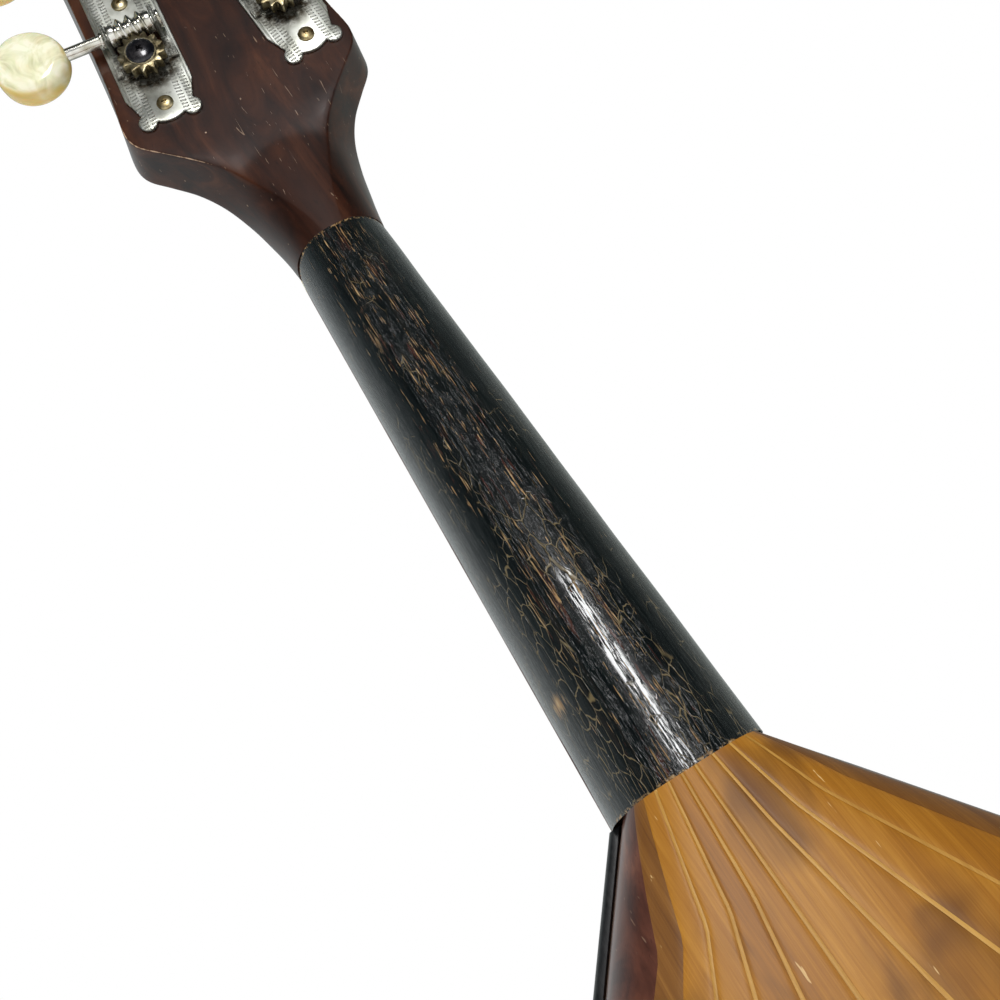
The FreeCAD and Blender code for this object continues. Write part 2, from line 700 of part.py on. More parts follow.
# ---- bridge, tailpiece and strings ----
BRIDGE_Z = NUT_ABOVE_JOINT - SCALE_LENGTH
BOARD_BOTTOM = -NECK_LENGTH - BODY_LENGTH
SADDLE_TOP = -3.4
PIN_Y = 11.0


def build_bridge():
    """Thin upright bridge with two feet and a bone edge."""
    half = 42.0
    y = BRIDGE_TOP + 0.4
    points = [(-half, 0), (-half, -4.0), (-20, y + 0.8), (-17, y), (17, y), (20, y + 0.8),
              (half, -4.0), (half, 0), (24, 0), (20, -3.2), (-20, -3.2), (-24, 0)]
    face = Part.Face(polygon_wire([(px, py, BRIDGE_Z - 3.0) for px, py in points]))
    bridge = face.extrude(V(0, 0, 6.0))
    thin = block((-half - 1, y - 1, BRIDGE_Z + 1.2), (half + 1, -5.0, BRIDGE_Z + 4))
    bridge = bridge.cut(thin)
    thin = block((-half - 1, y - 1, BRIDGE_Z - 4), (half + 1, -5.0, BRIDGE_Z - 1.2))
    bridge = bridge.cut(thin)
    for x, radius in zip(STRING_X, STRING_RADIUS):
        low = (x - radius - 0.1, y - 1, BRIDGE_Z - 5)
        high = (x + radius + 0.1, BRIDGE_TOP + radius + 0.8, BRIDGE_Z + 5)
        slot = block(low, high)
        bridge = bridge.cut(slot)
    save("bridge", bridge)


def tail_screws():
    screws = []
    for x in (-14.0, 0.0, 14.0):
        shank = cylinder(1.0, V(x, 19.0, BOARD_BOTTOM + 3.5), V(x, 19.0, BOARD_BOTTOM - 1.2))
        head = Part.makeCone(2.4, 1.5, 1.0, V(x, 19.0, BOARD_BOTTOM - 1.2), V(0, 0, -1))
        screws.append(shank.fuse(head).removeSplitter())
    return screws


def build_tail():
    low = BOARD_BOTTOM - 2.0
    saddle = block((-22, SADDLE_TOP, low), (22, 0, low + 6.0))
    corner = Part.makeCylinder(1.6, 50, V(-25, SADDLE_TOP + 1.6, low + 1.6), V(1, 0, 0))
    square = block((-25, SADDLE_TOP - 1, low - 1), (25, SADDLE_TOP + 1.6, low + 1.6))
    saddle = saddle.cut(square.cut(corner))
    save("bottom_saddle", saddle)
    plate = block((-20, 5.0, BOARD_BOTTOM - 1.2), (20, 24.0, BOARD_BOTTOM))
    pins = []
    for x in STRING_X:
        pin = cylinder(1.4, V(x, PIN_Y, BOARD_BOTTOM - 1.2), V(x, PIN_Y, BOARD_BOTTOM - 5.2))
        cap = cylinder(2.2, V(x, PIN_Y, BOARD_BOTTOM - 5.2), V(x, PIN_Y, BOARD_BOTTOM - 6.2))
        pins.append(pin.fuse(cap))
    tail = plate
    for pin in pins:
        tail = tail.fuse(pin)
    tail = tail.removeSplitter()
    screws = Part.makeCompound(tail_screws())
    save("tailpiece", tail.cut(screws))
    save("tail_screws", screws)


def corner_arc(before, corner, after, radius):
    """Tangent points and middle of an arc of a radius that rounds a corner."""
    a = before.sub(corner).normalize()
    b = after.sub(corner).normalize()
    half = 0.5 * a.getAngle(b)
    back = radius / math.tan(half)
    middle = a.add(b).normalize()
    centre = corner.add(V(middle).multiply(radius / math.sin(half)))
    mid = centre.sub(V(middle).multiply(radius))
    return corner.add(a.multiply(back)), mid, corner.add(b.multiply(back))


def string_path(points, radii):
    edges = []
    start = points[0]
    for i in range(1, len(points) - 1):
        p, m, q = corner_arc(points[i - 1], points[i], points[i + 1], radii[i - 1])
        edges.append(Part.LineSegment(start, p).toShape())
        edges.append(Part.Arc(p, m, q).toShape())
        start = q
    edges.append(Part.LineSegment(start, points[-1]).toShape())
    return Part.Wire(edges)


def build_strings():
    for number, (side, place) in enumerate(TUNERS):
        radius = STRING_RADIUS[number]
        x = STRING_X[number]
        xn = NUT_STRING_X[number]
        frame = plate_frame(side)
        wind = winding_radius(number) + radius + 0.15
        inner_x = side * wind
        tx, ty = tuner_centre(place)
        end = frame.multVec(V(tx + inner_x, ty, 0.5 * (WIND_LOW + WIND_HIGH)))
        saddle_y = SADDLE_TOP - radius - 0.05
        edge_z = BOARD_BOTTOM - 2.0 - radius - 0.05
        pin_x = x + 1.4 + radius + 0.05
        points = [
            end,
            V(xn, NUT_TOP - radius - 0.05, NUT_ABOVE_JOINT - 1.0),
            V(x, BRIDGE_TOP - radius, BRIDGE_Z),
            V(x + 0.3, saddle_y, BOARD_BOTTOM + 1.0),
            V(x + 0.6, saddle_y, edge_z),
            V(pin_x, PIN_Y, edge_z - 0.2),
        ]
        radii = [12.0, 8.0, 12.0, 2.2]
        path = string_path(points, radii)
        start = path.Edges[0].firstVertex().Point
        tangent = path.Edges[0].tangentAt(path.Edges[0].FirstParameter)
        ring = Part.Wire(Part.Circle(start, tangent, radius).toShape())
        tube = path.makePipeShell([ring], True, True)
        piped = tube.Volume / (math.pi * radius ** 2)
        print("string length", round(path.Length, 1), "pipe", round(piped, 1))
        save("string_%d" % (number + 1), tube)


build_back()
build_neck_block()
build_bottom_board()
build_linings()
build_soundboard()
build_braces()
build_neck()
build_fingerboard()
build_nut()
build_head()
build_plate("left", 1, 2)
build_plate("right", -1, 1)
build_plate_screws()
build_tuners()
build_ferrules()
build_bridge()
build_tail()
build_strings()
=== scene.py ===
import bmesh
import bpy
import math
from mathutils import Matrix, Vector, noise


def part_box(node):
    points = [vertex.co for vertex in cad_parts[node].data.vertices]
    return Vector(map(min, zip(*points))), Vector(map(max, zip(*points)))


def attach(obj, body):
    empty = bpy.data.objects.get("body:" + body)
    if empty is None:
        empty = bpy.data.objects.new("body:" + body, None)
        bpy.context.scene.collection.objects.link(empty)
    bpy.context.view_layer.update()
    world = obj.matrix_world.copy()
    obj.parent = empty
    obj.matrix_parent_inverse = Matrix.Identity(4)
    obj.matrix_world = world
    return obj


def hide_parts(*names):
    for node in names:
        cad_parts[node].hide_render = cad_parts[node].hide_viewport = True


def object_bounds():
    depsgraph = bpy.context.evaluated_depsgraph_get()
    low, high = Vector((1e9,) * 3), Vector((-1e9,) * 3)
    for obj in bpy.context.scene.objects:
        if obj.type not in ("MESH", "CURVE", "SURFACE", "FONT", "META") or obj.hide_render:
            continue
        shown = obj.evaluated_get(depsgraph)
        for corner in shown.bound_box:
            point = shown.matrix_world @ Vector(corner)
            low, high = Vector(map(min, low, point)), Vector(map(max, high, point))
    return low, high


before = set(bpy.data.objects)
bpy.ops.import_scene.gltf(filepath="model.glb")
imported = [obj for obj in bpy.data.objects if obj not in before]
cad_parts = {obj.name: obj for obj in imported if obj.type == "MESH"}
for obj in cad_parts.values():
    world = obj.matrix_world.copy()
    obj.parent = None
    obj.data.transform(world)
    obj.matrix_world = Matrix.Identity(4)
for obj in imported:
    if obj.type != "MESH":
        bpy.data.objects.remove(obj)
cad_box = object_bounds()
bpy.ops.object.select_all(action="DESELECT")

# ---------------------------------------------------------------------------------------------------
# The ribbed back: eight light ribs fan out from the heel, with a brown strip and a dark mahogany band
# on each side. Each is a thin bent board, glued edge to edge and varnished with the others.
# ---------------------------------------------------------------------------------------------------
MM = 0.001
HEEL_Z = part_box("neck")[0].z
BODY_LENGTH = HEEL_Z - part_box("bottom_board")[0].z
RIB_END = HEEL_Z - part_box("bottom_board")[1].z
RIBS_PER_SIDE = 4
DARK_STRIP = 1.05
RIB_THICKNESS = 2.5 * MM
SIDE_BAND = {1: 31.0 * MM, -1: 20.0 * MM}
BAND_SHARE = {1: 0.563, -1: 0.42}
EDGE_WIDTH = 3.2 * MM
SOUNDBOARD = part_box("soundboard")[1].y
CORNER = 18.0 * MM


def rim_half(drop):
    """Half width of the soundboard's edge at a drop below the heel."""
    straight = min(drop, BODY_LENGTH - CORNER)
    half = 19.3 * MM + 0.8 * straight - 0.1 * straight ** 2
    into = max(drop - straight, 0.0) / CORNER
    return half - 0.7 * CORNER * (1.0 - math.sqrt(max(1.0 - into ** 2, 0.0)))


def back_section(drop, steps=260):
    """The outer section of one side of the back, from the ridge down to the soundboard."""
    half = rim_half(drop) - EDGE_WIDTH
    depth = 25.9 * MM + 0.198 * drop - 0.1 * drop ** 2 - SOUNDBOARD
    power = 3.6 + 0.4 * min(drop / 0.015, 1.0) - 1.3 * min(max((drop - 0.04) / 0.14, 0.0), 1.0)
    points = [(0.0, SOUNDBOARD + depth, 0.0)]
    for i in range(1, steps + 1):
        turn = 0.5 * math.pi * i / steps
        x = half * math.sin(turn) ** (2.0 / power)
        y = SOUNDBOARD + depth * math.cos(turn) ** (2.0 / power)
        before = points[-1]
        points.append((x, y, before[2] + math.hypot(x - before[0], y - before[1])))
    return points


def section_at(points, wanted):
    """Point and outward normal at a length along a section; a negative length is past the ridge."""
    side = -1.0 if wanted < 0.0 else 1.0
    wanted = min(abs(wanted), points[-1][2])
    low, high = 0, len(points) - 1
    while high - low > 1:
        middle = (low + high) // 2
        if points[middle][2] <= wanted:
            low = middle
        else:
            high = middle
    (x0, y0, l0), (x1, y1, l1) = points[low], points[high]
    part = (wanted - l0) / max(l1 - l0, 1e-12)
    length = math.hypot(x1 - x0, y1 - y0)
    normal = Vector((-(y1 - y0) / length, (x1 - x0) / length))
    return side * (x0 + part * (x1 - x0)), y0 + part * (y1 - y0), Vector((side * normal.x, normal.y))


def seam_lengths(drop, points, side):
    """Lengths along the section of the seams: both edges of each light strip, then the brown strip's
    edges and the foot."""
    total = points[-1][2]
    band = min(SIDE_BAND[side], BAND_SHARE[side] * total)
    rib = (total - band) / (RIBS_PER_SIDE + DARK_STRIP)
    line = (0.5 + 0.4 * min(drop / 0.06, 1.0)) * MM
    lengths = [0.5 * line]
    for i in range(1, RIBS_PER_SIDE):
        lengths += [i * rib - 0.5 * line, i * rib + 0.5 * line]
    return lengths + [RIBS_PER_SIDE * rib, total - band, total]


SECTIONS = []
ALONG = 110
for row in range(ALONG + 1):
    reach = RIB_END * (row / ALONG) ** 1.35
    SECTIONS.append((reach, back_section(reach)))


def node(tree, kind, sockets=None, **settings):
    """A shader node with its settings made, and each socket given a value or linked to an output."""
    made = tree.nodes.new("ShaderNode" + kind)
    for name, value in settings.items():
        setattr(made, name, value)
    for key, value in (sockets or {}).items():
        if isinstance(value, bpy.types.NodeSocket):
            tree.links.new(value, made.inputs[key])
        else:
            made.inputs[key].default_value = value
    return made


def math_node(tree, operation, *values):
    return node(tree, "Math", dict(enumerate(values)), operation=operation).outputs[0]


def times(tree, first, second):
    return math_node(tree, "MULTIPLY", first, second)


def plus(tree, first, second):
    return math_node(tree, "ADD", first, second)


def minus(tree, first, second):
    return math_node(tree, "SUBTRACT", first, second)


def largest(tree, first, second):
    return math_node(tree, "MAXIMUM", first, second)


def inverse(tree, value):
    return math_node(tree, "SUBTRACT", 1.0, value)


def spread(tree, value, low, high):
    """A value from 0 to 1 carried over to a range."""
    return node(tree, "MapRange", {"Value": value, "To Min": low, "To Max": high}).outputs["Result"]


def ramp(tree, factor, stops):
    """A colour ramp; each stop is a place and a colour."""
    made = node(tree, "ValToRGB", {"Fac": factor})
    elements = made.color_ramp.elements
    while len(elements) < len(stops):
        elements.new(0.5)
    for element, (place, colour) in zip(elements, stops):
        element.position = place
        element.color = (*colour, 1.0)
    return made.outputs["Color"]


def mixed(tree, factor, first, second, blend="MIX"):
    made = node(tree, "Mix", data_type="RGBA", blend_type=blend, clamp_factor=True)
    for key, value in ((0, factor), (6, first), (7, second)):
        if isinstance(value, bpy.types.NodeSocket):
            tree.links.new(value, made.inputs[key])
        else:
            made.inputs[key].default_value = (*value, 1.0) if key else value
    return made.outputs[2]


def between(tree, value, low, high):
    """0 below low, 1 above high, smooth in between."""
    made = node(tree, "MapRange", {"Value": value, "From Min": low, "From Max": high},
                interpolation_type="SMOOTHSTEP")
    return made.outputs["Result"]


def coordinates(tree, source, scale=(1, 1, 1), offset=(0, 0, 0)):
    """The piece's UV map or Object coordinates, in metres, stretched to a pattern's own scale."""
    read = node(tree, "TexCoord").outputs[source]
    return node(tree, "Mapping", {"Vector": read, "Scale": scale, "Location": offset}).outputs["Vector"]


def grain(tree, vector, detail=4.0, roughness=0.6, distortion=0.0):
    made = node(tree, "TexNoise", {"Vector": vector, "Scale": 1.0, "Detail": detail,
                                   "Roughness": roughness, "Distortion": distortion})
    return made.outputs["Fac"]


def bump(tree, height, strength, distance, normal=None):
    sockets = {"Height": height, "Strength": strength, "Distance": distance}
    if normal is not None:
        sockets["Normal"] = normal
    return node(tree, "Bump", sockets).outputs["Normal"]


def material(name, **values):
    """A new material, its node tree and its shader, with the shader's plain values set."""
    made = bpy.data.materials.new(name)
    made.use_nodes = True
    shader = made.node_tree.nodes["Principled BSDF"]
    for key, value in values.items():
        shader.inputs[key.replace("_", " ")].default_value = value
    return made, made.node_tree, shader


def varnished_wood(name, dark, middle, light, patches, seed):
    """Bent rib wood under old gloss varnish: fibres along the piece, soft cloudy darkening, fine
    scratches, and a tone of its own for each rib."""
    made, tree, shader = material(name, Coat_Weight=0.28, Coat_Roughness=0.34, Coat_IOR=1.5,
                                  Specular_IOR_Level=0.2)
    fibre = grain(tree, coordinates(tree, "UV", (2600, 45, 1), (seed, 0, 0)), 5, 0.65, 0.3)
    broad = grain(tree, coordinates(tree, "UV", (260, 14, 1), (0, seed, 0)), 3, 0.55, 0.8)
    cloud = grain(tree, coordinates(tree, "Object", (38, 38, 24), (seed, 0, 3)), 3, 0.6, 0.5)
    shift = node(tree, "SeparateXYZ", {0: node(tree, "TexCoord").outputs["UV"]}).outputs[0]
    rib = math_node(tree, "FLOOR", times(tree, shift, 2.0))
    tone = node(tree, "TexWhiteNoise", {"W": rib}, noise_dimensions="1D").outputs["Value"]
    level = plus(tree, times(tree, fibre, 0.45),
                      times(tree, broad, 0.45))
    level = plus(tree, level, times(tree, tone, 0.14))
    colour = ramp(tree, level, [(0.30, dark), (0.50, middle), (0.72, light)])
    stain = between(tree, cloud, 0.56, 0.74)
    colour = mixed(tree, times(tree, stain, 0.85), colour, patches)
    scratch = node(tree, "TexNoise", {"Vector": coordinates(tree, "Object", (900, 500, 30), (0, 0, 9)),
                                      "Scale": 1.0, "Detail": 2.0}).outputs["Fac"]
    line = between(tree, scratch, 0.735, 0.76)
    colour = mixed(tree, times(tree, line, 0.5), colour, (0.78, 0.55, 0.24))
    tree.links.new(colour, shader.inputs["Base Color"])
    rough = spread(tree, broad, 0.46, 0.60)
    tree.links.new(rough, shader.inputs["Roughness"])
    tree.links.new(bump(tree, fibre, 0.12, 0.0002), shader.inputs["Normal"])
    ripple = grain(tree, coordinates(tree, "Object", (70, 70, 55)), 2, 0.5)
    waves = bump(tree, ripple, 0.08, 0.0008)
    tree.links.new(bump(tree, scratch, 0.10, 0.0002, waves), shader.inputs["Coat Normal"])
    return made


def smooth(piece, degrees):
    for face in piece.data.polygons:
        face.use_smooth = True
    bpy.ops.object.select_all(action="DESELECT")
    piece.select_set(True)
    bpy.context.view_layer.objects.active = piece
    bpy.ops.object.shade_smooth_by_angle(angle=math.radians(degrees))


def apply_modifier(piece, kind, **settings):
    """Adds one modifier and applies it."""
    bpy.ops.object.select_all(action="DESELECT")
    piece.select_set(True)
    bpy.context.view_layer.objects.active = piece
    made = piece.modifiers.new(kind.lower(), kind)
    for name, value in settings.items():
        setattr(made, name, value)
    bpy.ops.object.modifier_apply(modifier=made.name)


def close_up(piece):
    """Merges doubles, closes holes and turns every face outwards."""
    shell = bmesh.new()
    shell.from_mesh(piece.data)
    bmesh.ops.remove_doubles(shell, verts=shell.verts, dist=1e-6)
    bmesh.ops.dissolve_degenerate(shell, dist=1e-7, edges=shell.edges)
    bmesh.ops.holes_fill(shell, edges=[e for e in shell.edges if e.is_boundary], sides=0)
    bmesh.ops.recalc_face_normals(shell, faces=shell.faces)
    shell.to_mesh(piece.data)
    shell.free()


def shaped_grid(name, columns, rows, place, chart):
    """A grid primitive whose vertices are moved to place(i, j); its UV map is chart(i, j), in metres."""
    bpy.ops.object.select_all(action="DESELECT")
    bpy.ops.mesh.primitive_grid_add(x_subdivisions=columns, y_subdivisions=rows, size=2.0)
    piece = bpy.context.object
    piece.name = name
    cells = []
    for vertex in piece.data.vertices:
        i = round((vertex.co.x + 1.0) * 0.5 * columns)
        j = round((vertex.co.y + 1.0) * 0.5 * rows)
        cells.append((i, j))
    for vertex, cell in zip(piece.data.vertices, cells):
        vertex.co = place(*cell)
    chart_layer = piece.data.uv_layers.active.data
    for loop in piece.data.loops:
        chart_layer[loop.index].uv = chart(*cells[loop.vertex_index])
    return piece


def face_towards(piece, centre_of):
    """Turns an open sheet so that its faces point away from centre_of(their middle)."""
    face = piece.data.polygons[len(piece.data.polygons) // 2]
    if face.normal.dot(face.center - centre_of(face.center)) < 0.0:
        piece.data.flip_normals()


def finish_piece(piece, body, slot, skin, *nodes):
    """Gives a finished piece its finish, hangs it on its body's empty and hides the CAD nodes it replaces."""
    piece.data.materials.clear()
    piece.data.materials.append(skin)
    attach(piece, body)
    if nodes:
        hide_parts(*nodes)
    return piece


def back_strip(name, first, last, columns, number, sink):
    """One board of the back between two seams. Each edge is eased by sink, so seams show as fine lines.
    first and last take (drop, section) to a length along the section."""
    def place(i, j):
        drop, points = SECTIONS[j]
        a, b = first(drop, points), last(drop, points)
        part = i / columns
        x, y, normal = section_at(points, a + part * (b - a))
        ease = sink * (2.0 * part - 1.0) ** 8
        return Vector((x - ease * normal.x, y - ease * normal.y, HEEL_Z - drop))

    def chart(i, j):
        drop, points = SECTIONS[j]
        a, b = first(drop, points), last(drop, points)
        return (number * 0.5 + 0.1 + a + (b - a) * i / columns, drop)
    piece = shaped_grid(name, columns, ALONG, place, chart)
    face_towards(piece, lambda p: Vector((0.0, 0.0, p.z)))
    apply_modifier(piece, "SOLIDIFY", thickness=RIB_THICKNESS, offset=-1.0, use_even_offset=True)
    smooth(piece, 40)
    return piece


RIB_VARNISH = varnished_wood("rib_varnish", (0.17, 0.057, 0.002), (0.27, 0.103, 0.004),
                             (0.40, 0.180, 0.018), (0.085, 0.027, 0.002), 1.0)
BROWN_VARNISH = varnished_wood("brown_varnish", (0.09, 0.030, 0.004), (0.16, 0.062, 0.008),
                               (0.24, 0.105, 0.017), (0.06, 0.022, 0.004), 4.0)
for side, tag in ((1, "left"), (-1, "right")):
    for rib in range(RIBS_PER_SIDE):
        rib_piece = back_strip(
            "rib_%s_%d_varnished" % (tag, rib + 1),
            lambda drop, points, k=rib, s=side: s * seam_lengths(drop, points, s)[2 * k],
            lambda drop, points, k=rib, s=side: s * seam_lengths(drop, points, s)[2 * k + 1],
            14, rib + (6 if side < 0 else 0), 0.10 * MM)
        finish_piece(rib_piece, "instrument", "rib_wood", RIB_VARNISH, "rib_%s_%d" % (tag, rib + 1))
    strip_piece = back_strip(
        "dark_strip_%s_varnished" % tag,
        lambda drop, points, s=side: s * seam_lengths(drop, points, s)[-3],
        lambda drop, points, s=side: s * seam_lengths(drop, points, s)[-2],
        8, 13 + side, 0.06 * MM)
    finish_piece(strip_piece, "instrument", "brown_wood", BROWN_VARNISH, "dark_strip_" + tag)

# ---------------------------------------------------------------------------------------------------
# Light strips between the ribs: thin maple veneer set on edge in each seam, under the same varnish.
# ---------------------------------------------------------------------------------------------------
LINE_VARNISH = varnished_wood("line_varnish", (0.29, 0.135, 0.015), (0.39, 0.200, 0.034),
                              (0.48, 0.270, 0.060), (0.22, 0.090, 0.009), 7.0)
line_pieces = [back_strip(
    "ridge_line",
    lambda drop, points: -seam_lengths(drop, points, 1)[0],
    lambda drop, points: seam_lengths(drop, points, 1)[0], 3, 20, 0.03 * MM)]
for side in (1, -1):
    for seam in range(1, RIBS_PER_SIDE):
        line_pieces.append(back_strip(
            "line_%d_%d" % (side, seam),
            lambda drop, points, k=seam, s=side: s * seam_lengths(drop, points, s)[2 * k - 1],
            lambda drop, points, k=seam, s=side: s * seam_lengths(drop, points, s)[2 * k],
            3, 20 + 5 * side + seam, 0.03 * MM))
bpy.ops.object.select_all(action="DESELECT")
for line_piece in line_pieces:
    line_piece.select_set(True)
bpy.context.view_layer.objects.active = line_pieces[0]
bpy.ops.object.join()
line_pieces[0].name = "light_strips"
finish_piece(line_pieces[0], "instrument", "light_line", LINE_VARNISH, "rib_lines")

# ---------------------------------------------------------------------------------------------------
# Side bands: one dark mahogany board along each side, between the brown strip and the soundboard,
# stained and varnished to a high gloss.
# ---------------------------------------------------------------------------------------------------


def stained_mahogany(name, dark, middle, light, scratch_colour, worn=False):
    """Dark mahogany with short open pores, long soft figure and fine light scratches under gloss."""
    made, tree, shader = material(name, Coat_Weight=0.65, Coat_Roughness=0.12, Coat_IOR=1.5,
                                  Specular_IOR_Level=0.2, Roughness=0.42)
    figure = grain(tree, coordinates(tree, "Object", (95, 95, 9)), 4, 0.6, 1.2)
    pores = grain(tree, coordinates(tree, "Object", (1500, 1500, 130)), 3, 0.7)
    colour = ramp(tree, figure, [(0.32, dark), (0.52, middle), (0.70, light)])
    pore = between(tree, pores, 0.60, 0.70)
    colour = mixed(tree, times(tree, pore, 0.55), colour, dark)
    hair = grain(tree, coordinates(tree, "Object", (700, 160, 60), (4, 2, 1)), 2, 0.5, 2.5)
    hair = between(tree, hair, 0.715, 0.735)
    fleck = grain(tree, coordinates(tree, "Object", (330, 330, 330), (2, 7, 1)), 1, 0.5)
    fleck = between(tree, fleck, 0.81, 0.83)
    marks = largest(tree, times(tree, hair, 0.35), times(tree, fleck, 0.8))
    # the head's back edges, read from a vertex attribute, are mixed towards the pale scratch colour: partly rubbed
    # wear, partly a painted highlight along the edge
    if worn:
        edge = node(tree, "Attribute", attribute_name="worn").outputs["Fac"]
        broken = grain(tree, coordinates(tree, "Object", (260, 260, 260)), 4, 0.7)
        rubbed = between(tree, plus(tree, edge, times(tree, broken, 0.9)), 1.02, 1.24)
        marks = largest(tree, marks, rubbed)
    colour = mixed(tree, marks, colour, scratch_colour)
    tree.links.new(colour, shader.inputs["Base Color"])
    swell = grain(tree, coordinates(tree, "Object", (55, 55, 30)), 2, 0.5)
    soft = bump(tree, swell, 0.3, 0.0009)
    tree.links.new(bump(tree, pores, 0.10, 0.0002, soft), shader.inputs["Normal"])
    scar = inverse(tree, marks)
    tree.links.new(bump(tree, scar, 0.35, 0.00012, soft), shader.inputs["Coat Normal"])
    return made


SIDE_MAHOGANY = stained_mahogany("side_mahogany", (0.035, 0.010, 0.006), (0.085, 0.026, 0.014),
                                 (0.15, 0.052, 0.026), (0.35, 0.22, 0.14))
for side, tag in ((1, "left"), (-1, "right")):
    band_piece = back_strip(
        "side_band_%s_varnished" % tag,
        lambda drop, points, s=side: s * seam_lengths(drop, points, s)[-2],
        lambda drop, points, s=side: s * seam_lengths(drop, points, s)[-1],
        22, 17 + side, 0.06 * MM)
    finish_piece(band_piece, "instrument", "mahogany_side", SIDE_MAHOGANY, "side_band_" + tag)

# ---------------------------------------------------------------------------------------------------
# Edge of the soundboard: a black stained strip that stands proud of the sides all round, its outer
# corners rounded over, with a fine open groove where it meets the side bands.
# ---------------------------------------------------------------------------------------------------
edge_low, edge_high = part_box("edge_binding")
outline = []
OUTLINE_STEPS = 150
for step in range(OUTLINE_STEPS + 1):
    drop = BODY_LENGTH * (1.0 - (1.0 - step / OUTLINE_STEPS) ** 1.4)
    outline.append((rim_half(drop), drop))


def edge_ring_points(side_points, bottom_width):
    """Outer and inner plan points round the whole edge, from the heel down one side and up the other."""
    ring = []
    for half, drop in side_points:
        ring.append(((half, HEEL_Z - drop), (half - EDGE_WIDTH, HEEL_Z - drop)))
    ring[-1] = ((ring[-1][0][0], edge_low.z), (ring[-1][1][0], edge_low.z + bottom_width))
    return ring + [((-a[0], a[1]), (-b[0], b[1])) for a, b in reversed(ring)]


EDGE_PROFILE = [(0.0, 0.22), (0.06, 0.05), (0.28, 0.0), (0.86, 0.0), (1.0, 0.10), (1.0, 0.62), (0.92, 0.80),
                (0.80, 0.92), (0.62, 1.0), (0.22, 1.0), (0.12, 0.90), (0.0, 0.62), (0.0, 0.22)]
edge_ring = edge_ring_points(outline, 2.0 * MM)


def edge_place(i, j):
    outer, inner = edge_ring[j]
    out, back = EDGE_PROFILE[i]
    out = out * 0.985 + 0.015
    x = inner[0] + out * (outer[0] - inner[0])
    z = inner[1] + out * (outer[1] - inner[1])
    return Vector((x, edge_low.y + back * (edge_high.y - edge_low.y), z))


edge_piece = shaped_grid("soundboard_edge", len(EDGE_PROFILE) - 1, len(edge_ring) - 1, edge_place,
                         lambda i, j: (i * 0.001, j * 0.002))
close_up(edge_piece)
smooth(edge_piece, 50)


def black_stain(name, worn_colour, coat, rough):
    """Black stained hardwood: dull fibres showing through thin lacquer, scuffed grey in places."""
    made, tree, shader = material(name, Coat_Weight=coat, Coat_Roughness=0.22, Specular_IOR_Level=0.4)
    fibre = grain(tree, coordinates(tree, "Object", (1100, 1100, 90)), 4, 0.65)
    colour = ramp(tree, fibre, [(0.35, (0.006, 0.0065, 0.007)), (0.65, (0.017, 0.017, 0.018))])
    scuff = grain(tree, coordinates(tree, "Object", (420, 420, 420), (3, 1, 5)), 3, 0.6)
    scuff = between(tree, scuff, 0.66, 0.72)
    colour = mixed(tree, times(tree, scuff, 0.5), colour, worn_colour)
    tree.links.new(colour, shader.inputs["Base Color"])
    mottle = grain(tree, coordinates(tree, "Object", (240, 240, 240)), 3, 0.6)
    level = spread(tree, mottle, rough - 0.1, rough + 0.12)
    tree.links.new(level, shader.inputs["Roughness"])
    tree.links.new(bump(tree, fibre, 0.18, 0.0002), shader.inputs["Normal"])
    return made


EDGE_BLACK = black_stain("edge_black", (0.11, 0.095, 0.08), 0.5, 0.42)
finish_piece(edge_piece, "instrument", "black_edge", EDGE_BLACK, "edge_binding")

# ---------------------------------------------------------------------------------------------------
# Neck: one length of hardwood, rounded behind, sprayed black and polished. The lacquer is crazed and
# worn through to brown wood in streaks along the middle of the grip.
# ---------------------------------------------------------------------------------------------------
NECK_WIDTH = (29.0 * MM, 37.0 * MM)
NECK_DEPTH = (17.7 * MM, 25.9 * MM)
NECK_ROUND = 72
NECK_ROWS = 150


def neck_place(i, j):
    z = HEEL_Z * (1.0 - j / NECK_ROWS)
    part = z / HEEL_Z
    half = 0.5 * (NECK_WIDTH[0] + part * (NECK_WIDTH[1] - NECK_WIDTH[0]))
    depth = NECK_DEPTH[0] + part * (NECK_DEPTH[1] - NECK_DEPTH[0])
    turn = math.pi * i / NECK_ROUND
    c, s = math.cos(turn), math.sin(turn)
    wander = 0.12 * MM * noise.noise(Vector((2.0 * math.cos(turn), 2.0 * math.sin(turn), z * 55.0)))
    x = half * math.copysign(abs(c) ** 0.8, c)
    y = depth * abs(s) ** 0.8
    return Vector((x * (1 + wander / half), max(y * (1 + wander / depth), 0.0), z))


neck_piece = shaped_grid("lacquered_neck", NECK_ROUND, NECK_ROWS, neck_place,
                         lambda i, j: ((i / NECK_ROUND - 0.5) * 0.052, HEEL_Z * (1.0 - j / NECK_ROWS)))
close_up(neck_piece)
smooth(neck_piece, 50)


